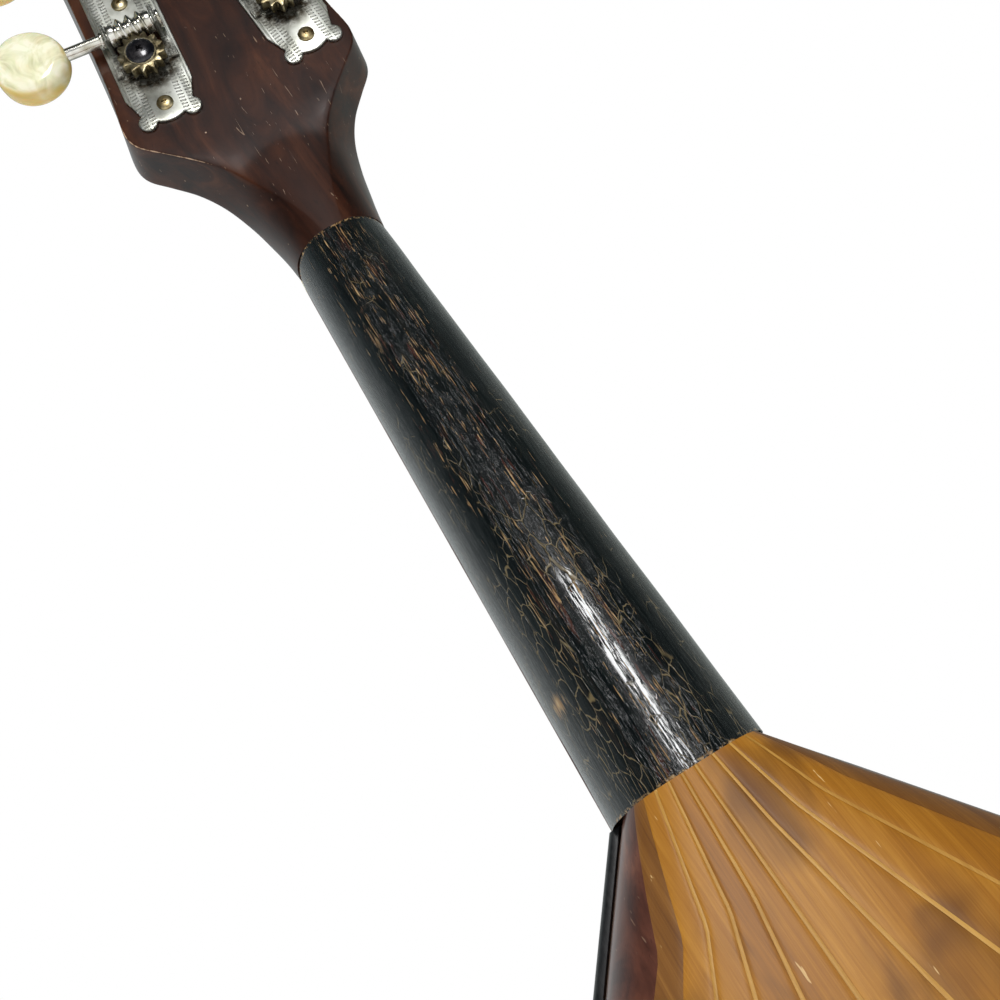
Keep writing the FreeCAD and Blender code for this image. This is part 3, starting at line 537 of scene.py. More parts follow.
def worn_black_lacquer():
    """Black lacquer over brown wood. UV runs across the grip and along the neck, in metres."""
    made, tree, shader = material("worn_black_lacquer", Coat_Weight=1.0, Coat_Roughness=0.07, Coat_IOR=1.45,
                                  Specular_IOR_Level=0.12)
    place = node(tree, "SeparateXYZ", {0: node(tree, "TexCoord").outputs["UV"]})
    across, along = place.outputs[0], place.outputs[1]
    # the lacquer itself: near black with a cold green cast, brown where it is thin
    flow = grain(tree, coordinates(tree, "UV", (420, 16, 1)), 4, 0.6, 0.6)
    black = ramp(tree, flow, [(0.35, (0.0012, 0.0022, 0.0026)), (0.60, (0.0040, 0.0058, 0.0058)),
                              (0.80, (0.014, 0.009, 0.006))])
    # thin broken lines worn through along the grain, thickest down the middle of the grip
    middle = math_node(tree, "ABSOLUTE", plus(tree, across, 0.0015))
    zone = inverse(tree, between(tree, middle, 0.002, 0.014))
    streak = grain(tree, coordinates(tree, "UV", (3300, 105, 1), (0.3, 0, 0)), 3, 0.65, 0.4)
    gather = grain(tree, coordinates(tree, "UV", (330, 38, 1), (5, 1, 0)), 3, 0.6, 0.4)
    amount = plus(tree, streak, times(tree, gather, 0.40))
    amount = plus(tree, amount, times(tree, zone, 0.085))
    rubbed = between(tree, amount, 0.91, 0.94)
    wide = grain(tree, coordinates(tree, "UV", (1100, 70, 1), (7, 3, 0)), 4, 0.65, 0.4)
    wide = plus(tree, wide, times(tree, zone, 0.09))
    brown = between(tree, plus(tree, wide, times(tree, gather, 0.25)), 0.82, 0.87)
    wood_tone = grain(tree, coordinates(tree, "UV", (900, 130, 1), (9, 0, 0)), 4, 0.6)
    wood = ramp(tree, wood_tone, [(0.30, (0.085, 0.035, 0.018)), (0.50, (0.26, 0.155, 0.06)),
                                  (0.70, (0.42, 0.30, 0.15))])
    # hair cracks: long along the grain, short across it
    warp = node(tree, "TexNoise", {"Vector": coordinates(tree, "UV", (400, 120, 1)), "Scale": 1.0,
                                   "Detail": 3.0})
    bent = node(tree, "VectorMath", {0: warp.outputs["Color"], 1: (0.9, 0.9, 0.0)},
                operation="MULTIPLY").outputs[0]
    net = node(tree, "VectorMath", {0: coordinates(tree, "UV", (600, 150, 1), (1.7, 0.4, 0)), 1: bent},
               operation="ADD").outputs[0]
    cells = node(tree, "TexVoronoi", {"Vector": net, "Scale": 1.0, "Randomness": 1.0},
                 feature="DISTANCE_TO_EDGE")
    crack = inverse(tree, between(tree, cells.outputs["Distance"], 0.006, 0.030))
    where = grain(tree, coordinates(tree, "UV", (150, 30, 1), (3, 8, 0)), 3, 0.6)
    low_end = inverse(tree, between(tree, along, -0.155, -0.075))
    right = inverse(tree, between(tree, across, -0.014, 0.004))
    toward = plus(tree, times(tree, low_end, 0.10), times(tree, right, 0.07))
    where = between(tree, plus(tree, where, toward), 0.56, 0.68)
    crack = times(tree, crack, where)
    chip_at = node(tree, "VectorMath", {0: node(tree, "TexCoord").outputs["UV"], 1: (-0.0165, -0.146, 0.0)},
                   operation="DISTANCE").outputs["Value"]
    ragged = plus(tree, chip_at, times(tree, streak, 0.010))
    chip = inverse(tree, between(tree, ragged, 0.0062, 0.0076))
    ends = largest(tree, between(tree, along, -0.0011, -0.0004),
                     inverse(tree, between(tree, along, HEEL_Z + 0.0003, HEEL_Z + 0.0008)))
    seam_noise = grain(tree, coordinates(tree, "UV", (900, 900, 1)), 3, 0.7)
    ends = times(tree, ends, between(tree, seam_noise, 0.50, 0.60))
    bare = largest(tree, largest(tree, rubbed, chip), ends)
    colour = mixed(tree, times(tree, brown, 0.8), black, (0.045, 0.014, 0.009))
    colour = mixed(tree, bare, colour, wood)
    colour = mixed(tree, times(tree, crack, 0.6), colour, (0.20, 0.15, 0.07))
    tree.links.new(colour, shader.inputs["Base Color"])
    rough = spread(tree, bare, 0.24, 0.52)
    tree.links.new(rough, shader.inputs["Roughness"])
    # open grain and craze marks break up the shine
    film = inverse(tree, largest(tree, crack, times(tree, bare, 0.7)))
    pores = grain(tree, coordinates(tree, "UV", (2400, 70, 1), (2, 2, 0)), 4, 0.7)
    pits = between(tree, pores, 0.40, 0.52)
    sway = grain(tree, coordinates(tree, "UV", (110, 22, 1)), 2, 0.5)
    base = bump(tree, film, 0.6, 0.00012)
    base = bump(tree, pits, 0.35, 0.00010, base)
    tree.links.new(base, shader.inputs["Normal"])
    tree.links.new(bump(tree, sway, 0.30, 0.0007, base), shader.inputs["Coat Normal"])
    return made


NECK_LACQUER = worn_black_lacquer()
finish_piece(neck_piece, "instrument", "black_neck", NECK_LACQUER, "neck")

# ---------------------------------------------------------------------------------------------------
# Head: solid mahogany scarfed to the neck and tilted back. Its back is planed flat and runs out into
# the round of the neck; the corners are crisp and pale along their edges, partly rubbed wear and partly a painted
# highlight.
# ---------------------------------------------------------------------------------------------------
TILT = math.radians(13.2)
HEAD_BACK = 15.0 * MM
HEAD_THICKNESS = 15.0 * MM
ALONG_HEAD = Vector((0.0, math.sin(TILT), math.cos(TILT)))
OUT_OF_BACK = Vector((0.0, math.cos(TILT), -math.sin(TILT)))
HEAD_ORIGIN = Vector((0.0, HEAD_BACK, 0.0))
# along the head, front edge and back edge, in mm
HEAD_FORM = [(0.0, 14.5, 3.0), (6.0, 15.3, 4.2), (13.0, 16.7, 6.4), (23.0, 19.0, 10.8), (33.0, 22.4, 15.9),
             (41.0, 27.0, 22.7), (48.0, 33.2, 29.9), (52.5, 37.4, 34.5), (56.0, 39.0, 36.4), (60.0, 39.3, 36.8),
             (67.0, 38.5, 35.8), (78.0, 37.0, 34.4), (98.0, 35.4, 32.9), (120.0, 34.0, 31.6), (136.0, 33.2, 31.0)]
CREST = [(136.0, 33.2), (140.0, 32.9), (143.0, 31.8), (144.6, 30.2), (145.2, 27.4), (145.8, 21.6), (147.2, 16.3),
         (150.2, 11.3), (153.0, 8.8), (155.6, 6.2), (157.2, 3.4), (158.0, 0.6)]
HEAD_LEAN = 1.2 * MM


def eased(table, s, column):
    """Reads a table of rows by its first column, along a smooth curve through them."""
    k = 0
    while k < len(table) - 2 and s > table[k + 1][0]:
        k += 1
    rows = [table[max(k - 1, 0)], table[k], table[k + 1], table[min(k + 2, len(table) - 1)]]
    p0, p1, p2, p3 = [row[column] for row in rows]
    s0, s1, s2, s3 = [row[0] for row in rows]
    span = s2 - s1
    t = min(max((s - s1) / span, 0.0), 1.0)
    m1 = (p2 - p0) / max(s2 - s0, 1e-9) * span
    m2 = (p3 - p1) / max(s3 - s1, 1e-9) * span
    return ((2 * t ** 3 - 3 * t ** 2 + 1) * p1 + (t ** 3 - 2 * t ** 2 + t) * m1
            + (-2 * t ** 3 + 3 * t ** 2) * p2 + (t ** 3 - t ** 2) * m2)


def head_rounding(points, corner, radius):
    """Replaces the corner of a section with a small arc."""
    a, b, c = [Vector(points[k]) for k in (corner - 1, corner, corner + 1)]
    to_a, to_c = a - b, c - b
    reach = min(radius, 0.45 * to_a.length, 0.45 * to_c.length)
    start, end = b + to_a.normalized() * reach, b + to_c.normalized() * reach
    arc = []
    for t in (0.0, 0.25, 0.5, 0.75, 1.0):
        arc.append(tuple((1 - t) ** 2 * start + 2 * t * (1 - t) * b + t ** 2 * end))
    return points[:corner] + arc + points[corner + 1:]


def head_lean(s):
    """How far the head's middle stands to one side of the neck's, s along the head."""
    part = min(max((s - 4.0) / 41.0, 0.0), 1.0)
    return HEAD_LEAN * part * part * (3.0 - 2.0 * part)


def ramp_height(s, x):
    """The flat ramp that lifts the back from the head's plane to the neck; it ends in a shallow arc."""
    length = 34.6 - 0.028 * (x / MM) ** 2
    left = 1.0 - s / max(length, 1.0)
    crease = 0.03
    return (NECK_DEPTH[0] - HEAD_BACK) * 0.5 * (left + math.sqrt(left * left + crease ** 2))


def head_section(s):
    """Half of the head's section at s (mm), from the middle of the front round to the middle of the
    back, as points across and above the back plane (m)."""
    if s <= 136.0:
        front, back = eased(HEAD_FORM, s, 1) * MM, eased(HEAD_FORM, s, 2) * MM
    else:
        front = eased(CREST, s, 1) * MM
        back = max(front - 2.2 * MM * min(front / (8.0 * MM), 1.0), 0.3 * MM)
    square = min(s / 44.0, 1.0)
    square = square * square * (3.0 - 2.0 * square)
    rise_to = ramp_height(s, back) if s < 60.0 else 0.0
    sweep = math.acos(min((back / front) ** 1.25, 1.0))
    side = []
    for i in range(11):
        part = i / 10
        rise = math.sin(sweep * part) ** 0.8
        x = front * math.cos(sweep * part) ** 0.8
        h = (HEAD_THICKNESS + rise_to) * rise - HEAD_THICKNESS
        flat_h = (HEAD_THICKNESS + rise_to) * part - HEAD_THICKNESS
        side.append((x + square * (front + (back - front) * part - x), h + square * (flat_h - h)))
    nick = 0.16 * MM * noise.noise(Vector((s * 0.55, 3.0, 1.0))) * min(s / 20.0, 1.0)
    side[-1] = (side[-1][0] + nick, side[-1][1])
    front_row = [(front * k / 5, -HEAD_THICKNESS) for k in range(5)]
    edge_x, edge_h = side[-1]
    back_row = []
    for k in range(1, 9):
        x = edge_x * (1.0 - k / 8)
        lift = ramp_height(s, x) if s < 60.0 else 0.0
        back_row.append((x, lift + (edge_h - rise_to) * (x / edge_x) ** 2))
    points = front_row + side + back_row
    points = head_rounding(points, len(front_row) + len(side) - 1, 0.55 * MM)
    return head_rounding(points, len(front_row), 1.1 * MM)


HEAD_STATIONS = [0.6 * k for k in range(0, 76)]
HEAD_STATIONS += [45.6 + 0.9 * k for k in range(0, 101)]
HEAD_STATIONS += [136.9 + 0.55 * k for k in range(0, 39)]
HEAD_STATIONS = [s for s in HEAD_STATIONS if s < 157.9] + [158.0]
head_halves = [head_section(s) for s in HEAD_STATIONS]
HALF_COUNT = len(head_halves[0])
HEAD_RING = 2 * (HALF_COUNT - 1)


def head_place(i, j):
    half = head_halves[j]
    k = i % HEAD_RING
    sign = 1.0
    if k >= HALF_COUNT:
        k = HEAD_RING - k
        sign = -1.0
    x, h = half[k]
    point = HEAD_ORIGIN + ALONG_HEAD * (HEAD_STATIONS[j] * MM) + OUT_OF_BACK * h
    point.x = sign * x + head_lean(HEAD_STATIONS[j])
    if point.z < 0.0:
        point.z = 0.0
    return point


head_piece = shaped_grid("mahogany_head", HEAD_RING, len(HEAD_STATIONS) - 1, head_place,
                         lambda i, j: (i * MM, HEAD_STATIONS[j] * MM))
close_up(head_piece)
smooth(head_piece, 38)
# vertex attribute for the pale back edges, partly rubbed wear and partly a painted highlight: 1 on the edge, gone
# 0.8 mm away, weaker near the neck, past s = 62 mm and on the -x side
worn = head_piece.data.attributes.new("worn", "FLOAT", "POINT")
for index, vertex in enumerate(head_piece.data.vertices):
    spot = vertex.co - HEAD_ORIGIN
    s = spot.dot(ALONG_HEAD) / MM
    x = spot.x - head_lean(s)
    value = 0.0
    if 3.0 < s < 136.0:
        ridge = ramp_height(s, eased(HEAD_FORM, s, 2) * MM) if s < 60.0 else 0.0
        away = math.hypot(abs(x) - eased(HEAD_FORM, s, 2) * MM, spot.dot(OUT_OF_BACK) - ridge)
        value = max(0.0, 1.0 - away / (0.8 * MM)) * min((s - 3.0) / 30.0 + 0.45, 1.0)
        if s > 62.0 or x < 0.0:
            value *= 0.62
    worn.data[index].value = value
HEAD_MAHOGANY = stained_mahogany("head_mahogany", (0.008, 0.0022, 0.0012), (0.028, 0.0072, 0.0024),
                                 (0.060, 0.018, 0.006), (0.46, 0.31, 0.20), worn=True)
finish_piece(head_piece, "instrument", "mahogany_head", HEAD_MAHOGANY, "head")

# ---------------------------------------------------------------------------------------------------
# Tuner plates: stamped nickel silver, scalloped at the ends, rolled with a ticked border. Two ears are
# bent up from each plate to carry the worm, and two small tabs are riveted beside each gear.
# ---------------------------------------------------------------------------------------------------
PLATE_X = 23.1 * MM
PLATE_S = 61.95 * MM
TOE = math.radians(4.25)
PLATE_THICKNESS = 1.0 * MM
GEAR_FROM_SCREW = 15.2 * MM
TUNER_PITCH = 38.65 * MM
WORM_TO_GEAR = 9.8 * MM
WORM_HEIGHT = 4.4 * MM
TUNERS = [(1, 0), (1, 1), (-1, 0)]


def plate_matrix(side):
    """A plate's own frame: origin under its end screw, Y along it to the tip, Z out of the back."""
    along = ALONG_HEAD * math.cos(TOE) + Vector((-side * math.sin(TOE), 0.0, 0.0))
    across = along.cross(OUT_OF_BACK)
    origin = HEAD_ORIGIN + ALONG_HEAD * PLATE_S + Vector((side * PLATE_X, 0.0, 0.0))
    return Matrix(((across.x, along.x, OUT_OF_BACK.x, origin.x), (across.y, along.y, OUT_OF_BACK.y, origin.y),
                   (across.z, along.z, OUT_OF_BACK.z, origin.z), (0, 0, 0, 1)))


def arc_through(a, b, c, steps):
    """Points from a to c on the circle through a, b and c."""
    ax, ay, bx, by, cx, cy = *a, *b, *c
    d = 2.0 * (ax * (by - cy) + bx * (cy - ay) + cx * (ay - by))
    ux = ((ax ** 2 + ay ** 2) * (by - cy) + (bx ** 2 + by ** 2) * (cy - ay) + (cx ** 2 + cy ** 2) * (ay - by)) / d
    uy = ((ax ** 2 + ay ** 2) * (cx - bx) + (bx ** 2 + by ** 2) * (ax - cx) + (cx ** 2 + cy ** 2) * (bx - ax)) / d
    radius = math.hypot(ax - ux, ay - uy)
    start, middle, end = [math.atan2(p[1] - uy, p[0] - ux) for p in (a, b, c)]
    turn = (end - start) % (2 * math.pi)
    if (middle - start) % (2 * math.pi) > turn:
        turn -= 2 * math.pi
    return [(ux + radius * math.cos(start + turn * k / steps), uy + radius * math.sin(start + turn * k / steps))
            for k in range(steps + 1)]


def scallops(y, direction):
    """One end of a plate, from its -X corner to its +X corner: hollow, lobe, middle lobe, lobe, hollow."""
    def p(x, v):
        return (x * MM, y + direction * v * MM)
    right = arc_through(p(4.2, 10.0), p(8.6, 11.4), p(8.0, 6.8), 16)
    right += arc_through(p(8.0, 6.8), p(8.9, 4.0), p(10.4, 0.0), 10)[1:]
    left = [(-x, v) for x, v in reversed(right)]
    return left + arc_through(p(-4.2, 10.0), p(0.0, 11.2), p(4.2, 10.0), 12)[1:-1] + right


def block(name, low, high):
    """A box between two corners, with its place in its mesh."""
    bpy.ops.object.select_all(action="DESELECT")
    middle = [(a + b) / 2 for a, b in zip(low, high)]
    bpy.ops.mesh.primitive_cube_add(size=1.0)
    piece = bpy.context.object
    piece.name = name
    piece.data.transform(Matrix.Translation(middle) @ Matrix.Diagonal([b - a for a, b in zip(low, high)] + [1]))
    return piece


def rod(name, start, end, radius, sides=32):
    """A round bar between two points, with its place in its mesh."""
    start, end = Vector(start), Vector(end)
    bpy.ops.object.select_all(action="DESELECT")
    bpy.ops.mesh.primitive_cylinder_add(vertices=sides, radius=radius, depth=(end - start).length)
    piece = bpy.context.object
    piece.name = name
    turn = (end - start).to_track_quat("Z", "Y").to_matrix().to_4x4()
    piece.data.transform(Matrix.Translation((start + end) / 2) @ turn)
    return piece


def carve(piece, tools):
    """Cuts tools out of a piece and removes them."""
    for tool in tools:
        apply_modifier(piece, "BOOLEAN", operation="DIFFERENCE", object=tool, solver="EXACT")
        bpy.data.objects.remove(tool)


def joined(pieces, name):
    bpy.ops.object.select_all(action="DESELECT")
    for piece in pieces:
        piece.select_set(True)
    bpy.context.view_layer.objects.active = pieces[0]
    if len(pieces) > 1:
        bpy.ops.object.join()
    pieces[0].name = name
    return pieces[0]


def plan_uv(piece):
    """Charts a flat piece by its own X and Y, in metres."""
    layer = piece.data.uv_layers.active or piece.data.uv_layers.new(name="UVMap")
    for loop in piece.data.loops:
        layer.data[loop.index].uv = piece.data.vertices[loop.vertex_index].co.xy


def plate_ear(side, worm_y):
    """An upright ear with a rounded top, bent up from the plate and bored for the shaft."""
    x0, x1 = sorted((side * 7.0 * MM, side * 8.2 * MM))
    ear = block("ear", (x0, worm_y - 3.4 * MM, 0.3 * MM), (x1, worm_y + 3.4 * MM, WORM_HEIGHT + 3.0 * MM))
    apply_modifier(ear, "BEVEL", width=1.5 * MM, segments=5, limit_method="ANGLE", affect="EDGES")
    return ear


def build_plate(tag, side, count):
    last = TUNER_PITCH * count
    low, high = 5.3 * MM, last - 5.3 * MM
    lower = scallops(low, -1)
    points = list(reversed(scallops(high, 1))) + lower
    mesh = bpy.data.meshes.new("plate")
    mesh.from_pydata([(x, y, 0.0) for x, y in points], [], [list(range(len(points)))])
    plate = bpy.data.objects.new("plate", mesh)
    bpy.context.scene.collection.objects.link(plate)
    if mesh.polygons[0].normal.z < 0:
        mesh.flip_normals()
    apply_modifier(plate, "SOLIDIFY", thickness=PLATE_THICKNESS, offset=1.0)
    tools = []
    for place in range(count):
        y = GEAR_FROM_SCREW + TUNER_PITCH * place
        worm_y = y + WORM_TO_GEAR
        tools.append(block("window", (-6.9 * MM, worm_y - 4.6 * MM, -MM), (6.9 * MM, worm_y + 4.6 * MM, 3 * MM)))
        tools.append(rod("post_hole", (0, y, -MM), (0, y, 3 * MM), 3.2 * MM))
    carve(plate, tools)
    apply_modifier(plate, "BEVEL", width=0.22 * MM, segments=3, limit_method="ANGLE", angle_limit=math.radians(50))
    extras = []
    for place in range(count):
        y = GEAR_FROM_SCREW + TUNER_PITCH * place
        for s in (1, -1):
            ear = plate_ear(s, y + WORM_TO_GEAR)
            shaft_y = y + WORM_TO_GEAR
            carve(ear, [rod("bore", (-12 * MM, shaft_y, WORM_HEIGHT), (12 * MM, shaft_y, WORM_HEIGHT), 1.8 * MM)])
            extras.append(ear)
            tab = block("tab", (s * 8.6 * MM - 1.2 * MM, y - 2.0 * MM, 0.5 * MM),
                        (s * 8.6 * MM + 1.2 * MM, y + 1.2 * MM, 1.9 * MM))
            apply_modifier(tab, "BEVEL", width=0.3 * MM, segments=3)
            extras.append(tab)
    plate = joined([plate] + extras, "nickel_plate_" + tag)
    plan_uv(plate)
    smooth(plate, 35)
    plate.data.transform(plate_matrix(side))
    return plate


def aged_nickel(name, engraved):
    """Aged nickel silver: soft brushing and grey bloom; on the plates, a painted brown shadow round each gear
    and two rolled rows of short ticks inside a fine line on each side."""
    made, tree, shader = material(name, Metallic=1.0)
    bloom = grain(tree, coordinates(tree, "Object", (130, 130, 130)), 4, 0.6)
    fine = grain(tree, coordinates(tree, "Object", (900, 900, 300)), 3, 0.6)
    colour = ramp(tree, bloom, [(0.30, (0.33, 0.33, 0.28)), (0.50, (0.50, 0.51, 0.46)),
                                (0.72, (0.64, 0.65, 0.61))])
    rust = grain(tree, coordinates(tree, "Object", (420, 420, 420), (5, 5, 5)), 4, 0.7)
    spots = between(tree, rust, 0.62, 0.72)
    dirt_and_gear_shadow = times(tree, spots, 0.5)
    level = plus(tree, 0.26, times(tree, bloom, 0.22))
    normal = bump(tree, fine, 0.12, 0.0001)
    if engraved:
        place = node(tree, "SeparateXYZ", {0: node(tree, "TexCoord").outputs["UV"]})
        x, y = place.outputs[0], place.outputs[1]
        away = math_node(tree, "ABSOLUTE", x)
        rows = []
        for low, high in ((0.0042, 0.0060), (0.0067, 0.0086)):
            inside = times(tree, between(tree, away, low, low + 0.0003),
                               inverse(tree, between(tree, away, high - 0.0003, high)))
            rows.append(inside)
        rows = largest(tree, *rows)
        slant = plus(tree, times(tree, y, 5400.0), times(tree, away, 700.0))
        tick = math_node(tree, "SINE", slant)
        tick = times(tree, between(tree, tick, -0.2, 0.7), rows)
        rim = math_node(tree, "ABSOLUTE", minus(tree, away, 0.0094))
        rim = inverse(tree, between(tree, rim, 0.0001, 0.00025))
        cut = largest(tree, tick, times(tree, rim, 0.8))
        # painted shadow: the plate is darkened within 7.5 mm of each gear's axis, fading out by 12.5 mm and broken
        # up by noise, where the gear shades it
        first = minus(tree, y, GEAR_FROM_SCREW - 0.5 * TUNER_PITCH)
        lap = math_node(tree, "MODULO", first, TUNER_PITCH)
        off = minus(tree, lap, 0.5 * TUNER_PITCH)
        reach = math_node(tree, "POWER", plus(tree, math_node(tree, "POWER", off, 2.0),
                                                    math_node(tree, "POWER", x, 2.0)), 0.5)
        near = inverse(tree, between(tree, reach, 0.0075, 0.0125))
        patchy = between(tree, rust, 0.30, 0.62)
        dark_patch = times(tree, near, plus(tree, 0.35, times(tree, patchy, 0.65)))
        dirt_and_gear_shadow = largest(tree, dirt_and_gear_shadow, dark_patch)
        dirt_and_gear_shadow = largest(tree, dirt_and_gear_shadow, times(tree, cut, 0.34))
        normal = bump(tree, inverse(tree, cut), 0.9, 0.00022, normal)
    # dark brown over the rust spots, the engraved cuts and the painted gear shadows
    colour = mixed(tree, dirt_and_gear_shadow, colour, (0.045, 0.034, 0.020))
    tree.links.new(colour, shader.inputs["Base Color"])
    level = plus(tree, level, times(tree, dirt_and_gear_shadow, 0.3))
    tree.links.new(level, shader.inputs["Roughness"])
    tree.links.new(normal, shader.inputs["Normal"])
    return made


PLATE_NICKEL = aged_nickel("plate_nickel", True)
PLAIN_NICKEL = aged_nickel("plain_nickel", False)
for tag, side, count in (("left", 1, 2), ("right", -1, 1)):
    finish_piece(build_plate(tag, side, count), "instrument", "nickel", PLATE_NICKEL, "tuner_plate_" + tag)

# ---------------------------------------------------------------------------------------------------
# Plate screws: small raised countersunk brass screws with a cross recess, dulled with age.
# ---------------------------------------------------------------------------------------------------


def lathe(name, profile, sides=40):
    """A turned solid about Z from (radius, height) points, given from the bottom of the axis to its top."""
    rows = len(profile) - 1

    def place(i, j):
        turn = 2.0 * math.pi * (i % sides) / sides
        radius, height = profile[j]
        return Vector((radius * math.cos(turn), radius * math.sin(turn), height))
    piece = shaped_grid(name, sides, rows, place, lambda i, j: (i * MM, j * MM))
    close_up(piece)
    return piece


def cross_recess(width, thick, low, high):
    """The tool that leaves a cross recess: two crossed wedges that narrow towards their tip."""
    tools = []
    for turn in (0.0, math.pi / 2):
        bar = block("recess", (-width, -thick, low), (width, thick, high))
        for vertex in bar.data.vertices:
            if vertex.co.z < (low + high) / 2:
                vertex.co.x *= 0.35
        bar.data.transform(Matrix.Rotation(turn + 0.5, 4, "Z"))
        tools.append(bar)
    return tools


def screw_dome(name, radius, foot, rise, slot_width, slot_thick, shank_radius, shank_low):
    """A domed screw with a cross recess, its head standing on foot."""
    profile = [(0.0, shank_low), (shank_radius, shank_low), (shank_radius, foot), (radius * 0.97, foot),
               (radius, foot + 0.12 * rise)]
    for k in range(1, 10):
        turn = 0.5 * math.pi * k / 9
        profile.append((radius * math.cos(turn), foot + rise * (0.12 + 0.88 * math.sin(turn))))
    dome = lathe(name, profile)
    carve(dome, cross_recess(slot_width, slot_thick, foot + 0.25 * rise, foot + 2.0 * rise))
    smooth(dome, 35)
    return dome


screws = []
for side, count in ((1, 2), (-1, 1)):
    for place in range(count + 1):
        one = screw_dome("screw", 2.5 * MM, PLATE_THICKNESS, 1.0 * MM, 1.35 * MM, 0.27 * MM, 0.9 * MM, -6.5 * MM)
        one.data.transform(Matrix.Rotation(0.7 * place + side, 4, "Z"))
        one.data.transform(plate_matrix(side) @ Matrix.Translation((0, TUNER_PITCH * place, 0)))
        screws.append(one)


def old_brass(name, bright, dull, dark_patch):
    """Brass gone brown in its hollows, brighter where it is rubbed."""
    made, tree, shader = material(name, Metallic=1.0)
    stain = grain(tree, coordinates(tree, "Object", (380, 380, 380)), 4, 0.65)
    colour = ramp(tree, stain, [(0.30, dark_patch), (0.48, dull), (0.66, bright)])
    tree.links.new(colour, shader.inputs["Base Color"])
    level = spread(tree, stain, 0.48, 0.24)
    tree.links.new(level, shader.inputs["Roughness"])
    fine = grain(tree, coordinates(tree, "Object", (1600, 1600, 1600)), 3, 0.6)
    tree.links.new(bump(tree, fine, 0.2, 0.0001), shader.inputs["Normal"])
    return made


SCREW_BRASS = old_brass("screw_brass", (0.62, 0.54, 0.34), (0.42, 0.33, 0.17), (0.12, 0.085, 0.04))
finish_piece(joined(screws, "plate_screw_set"), "instrument", "brass_screw", SCREW_BRASS, "plate_screws")

# ---------------------------------------------------------------------------------------------------
# Gears: thirteen teeth milled in brass, with a collar that stands on the plate. Their brass is darker
# all over than the screws' brass, with near-black patches.
# ---------------------------------------------------------------------------------------------------
TEETH = 13
GEAR_LOW = WORM_HEIGHT - 1.4 * MM
GEAR_HIGH = WORM_HEIGHT + 1.4 * MM
TOOTH = [(-1.05, 5.4), (-0.85, 5.9), (-0.5, 6.6), (-0.3, 6.95), (0.3, 6.95), (0.5, 6.6), (0.85, 5.9), (1.05, 5.4)]
GEAR_BRASS = old_brass("gear_brass", (0.44, 0.39, 0.26), (0.22, 0.18, 0.10), (0.030, 0.024, 0.015))


def gear_blank():
    points = []
    for tooth in range(TEETH):
        turn = -2.0 * math.pi * tooth / TEETH
        c, s = math.cos(turn), math.sin(turn)
        points += [((x * c - y * s) * MM, (x * s + y * c) * MM) for x, y in TOOTH]
    mesh = bpy.data.meshes.new("gear")
    mesh.from_pydata([(x, y, GEAR_LOW) for x, y in points], [], [list(range(len(points)))])
    gear = bpy.data.objects.new("gear", mesh)
    bpy.context.scene.collection.objects.link(gear)
    if mesh.polygons[0].normal.z < 0:
        mesh.flip_normals()
    apply_modifier(gear, "SOLIDIFY", thickness=GEAR_HIGH - GEAR_LOW, offset=1.0)
    apply_modifier(gear, "BEVEL", width=0.16 * MM, segments=2, limit_method="ANGLE", angle_limit=math.radians(60))
    collar = lathe("collar", [(0.0, 1.2 * MM), (4.0 * MM, 1.2 * MM), (4.2 * MM, 1.4 * MM),
                              (4.2 * MM, GEAR_LOW + 0.2 * MM), (0.0, GEAR_LOW + 0.2 * MM)])
    boss = lathe("boss", [(0.0, GEAR_HIGH - 0.2 * MM), (4.75 * MM, GEAR_HIGH - 0.2 * MM),
                          (4.75 * MM, GEAR_HIGH + 0.12 * MM),
                          (4.55 * MM, GEAR_HIGH + 0.25 * MM), (0.0, GEAR_HIGH + 0.25 * MM)])
    gear = joined([gear, collar, boss], "gear")
    smooth(gear, 30)
    return gear


for number, (side, place) in enumerate(TUNERS):
    gear = gear_blank()
    gear.name = "brass_gear_%d" % (number + 1)
    gear.data.transform(plate_matrix(side) @ Matrix.Translation((0, GEAR_FROM_SCREW + TUNER_PITCH * place, 0)))
    finish_piece(gear, "post_%d" % (number + 1), "brass_gear", GEAR_BRASS, "gear_%d" % (number + 1))

# ---------------------------------------------------------------------------------------------------
# Gear screws: large black domed screws with a cross recess, one through each gear into its post.
# ---------------------------------------------------------------------------------------------------


def black_oxide():
    made, tree, shader = material("black_oxide", Metallic=0.6, Coat_Weight=0.6, Coat_Roughness=0.08)
    rub = grain(tree, coordinates(tree, "Object", (300, 300, 300)), 3, 0.6)
    colour = ramp(tree, rub, [(0.40, (0.008, 0.008, 0.011)), (0.75, (0.06, 0.055, 0.055))])
    tree.links.new(colour, shader.inputs["Base Color"])
    level = spread(tree, rub, 0.16, 0.36)
    tree.links.new(level, shader.inputs["Roughness"])
    tree.links.new(bump(tree, rub, 0.1, 0.0002), shader.inputs["Normal"])
    return made


BLACK_OXIDE = black_oxide()
for number, (side, place) in enumerate(TUNERS):
    dome = screw_dome("gear_screw_dome_%d" % (number + 1), 4.25 * MM, GEAR_HIGH + 0.05 * MM, 1.5 * MM, 2.1 * MM,
                      0.45 * MM, 1.15 * MM, GEAR_HIGH - 4.5 * MM)
    dome.data.transform(Matrix.Rotation(0.35 + 0.9 * number, 4, "Z"))
    dome.data.transform(plate_matrix(side) @ Matrix.Translation((0, GEAR_FROM_SCREW + TUNER_PITCH * place, 0)))
    finish_piece(dome, "post_%d" % (number + 1), "black_screw", BLACK_OXIDE, "gear_screw_%d" % (number + 1))

# ---------------------------------------------------------------------------------------------------
# Worm shafts: bright nickelled steel, turned with a one-start worm between two collars that run
# against the ears, and a round shank out to the button.
# ---------------------------------------------------------------------------------------------------
WORM_LEAD = 2.0 * math.pi * 6.45 * MM / TEETH
SHAFT_RADIUS = 1.7 * MM


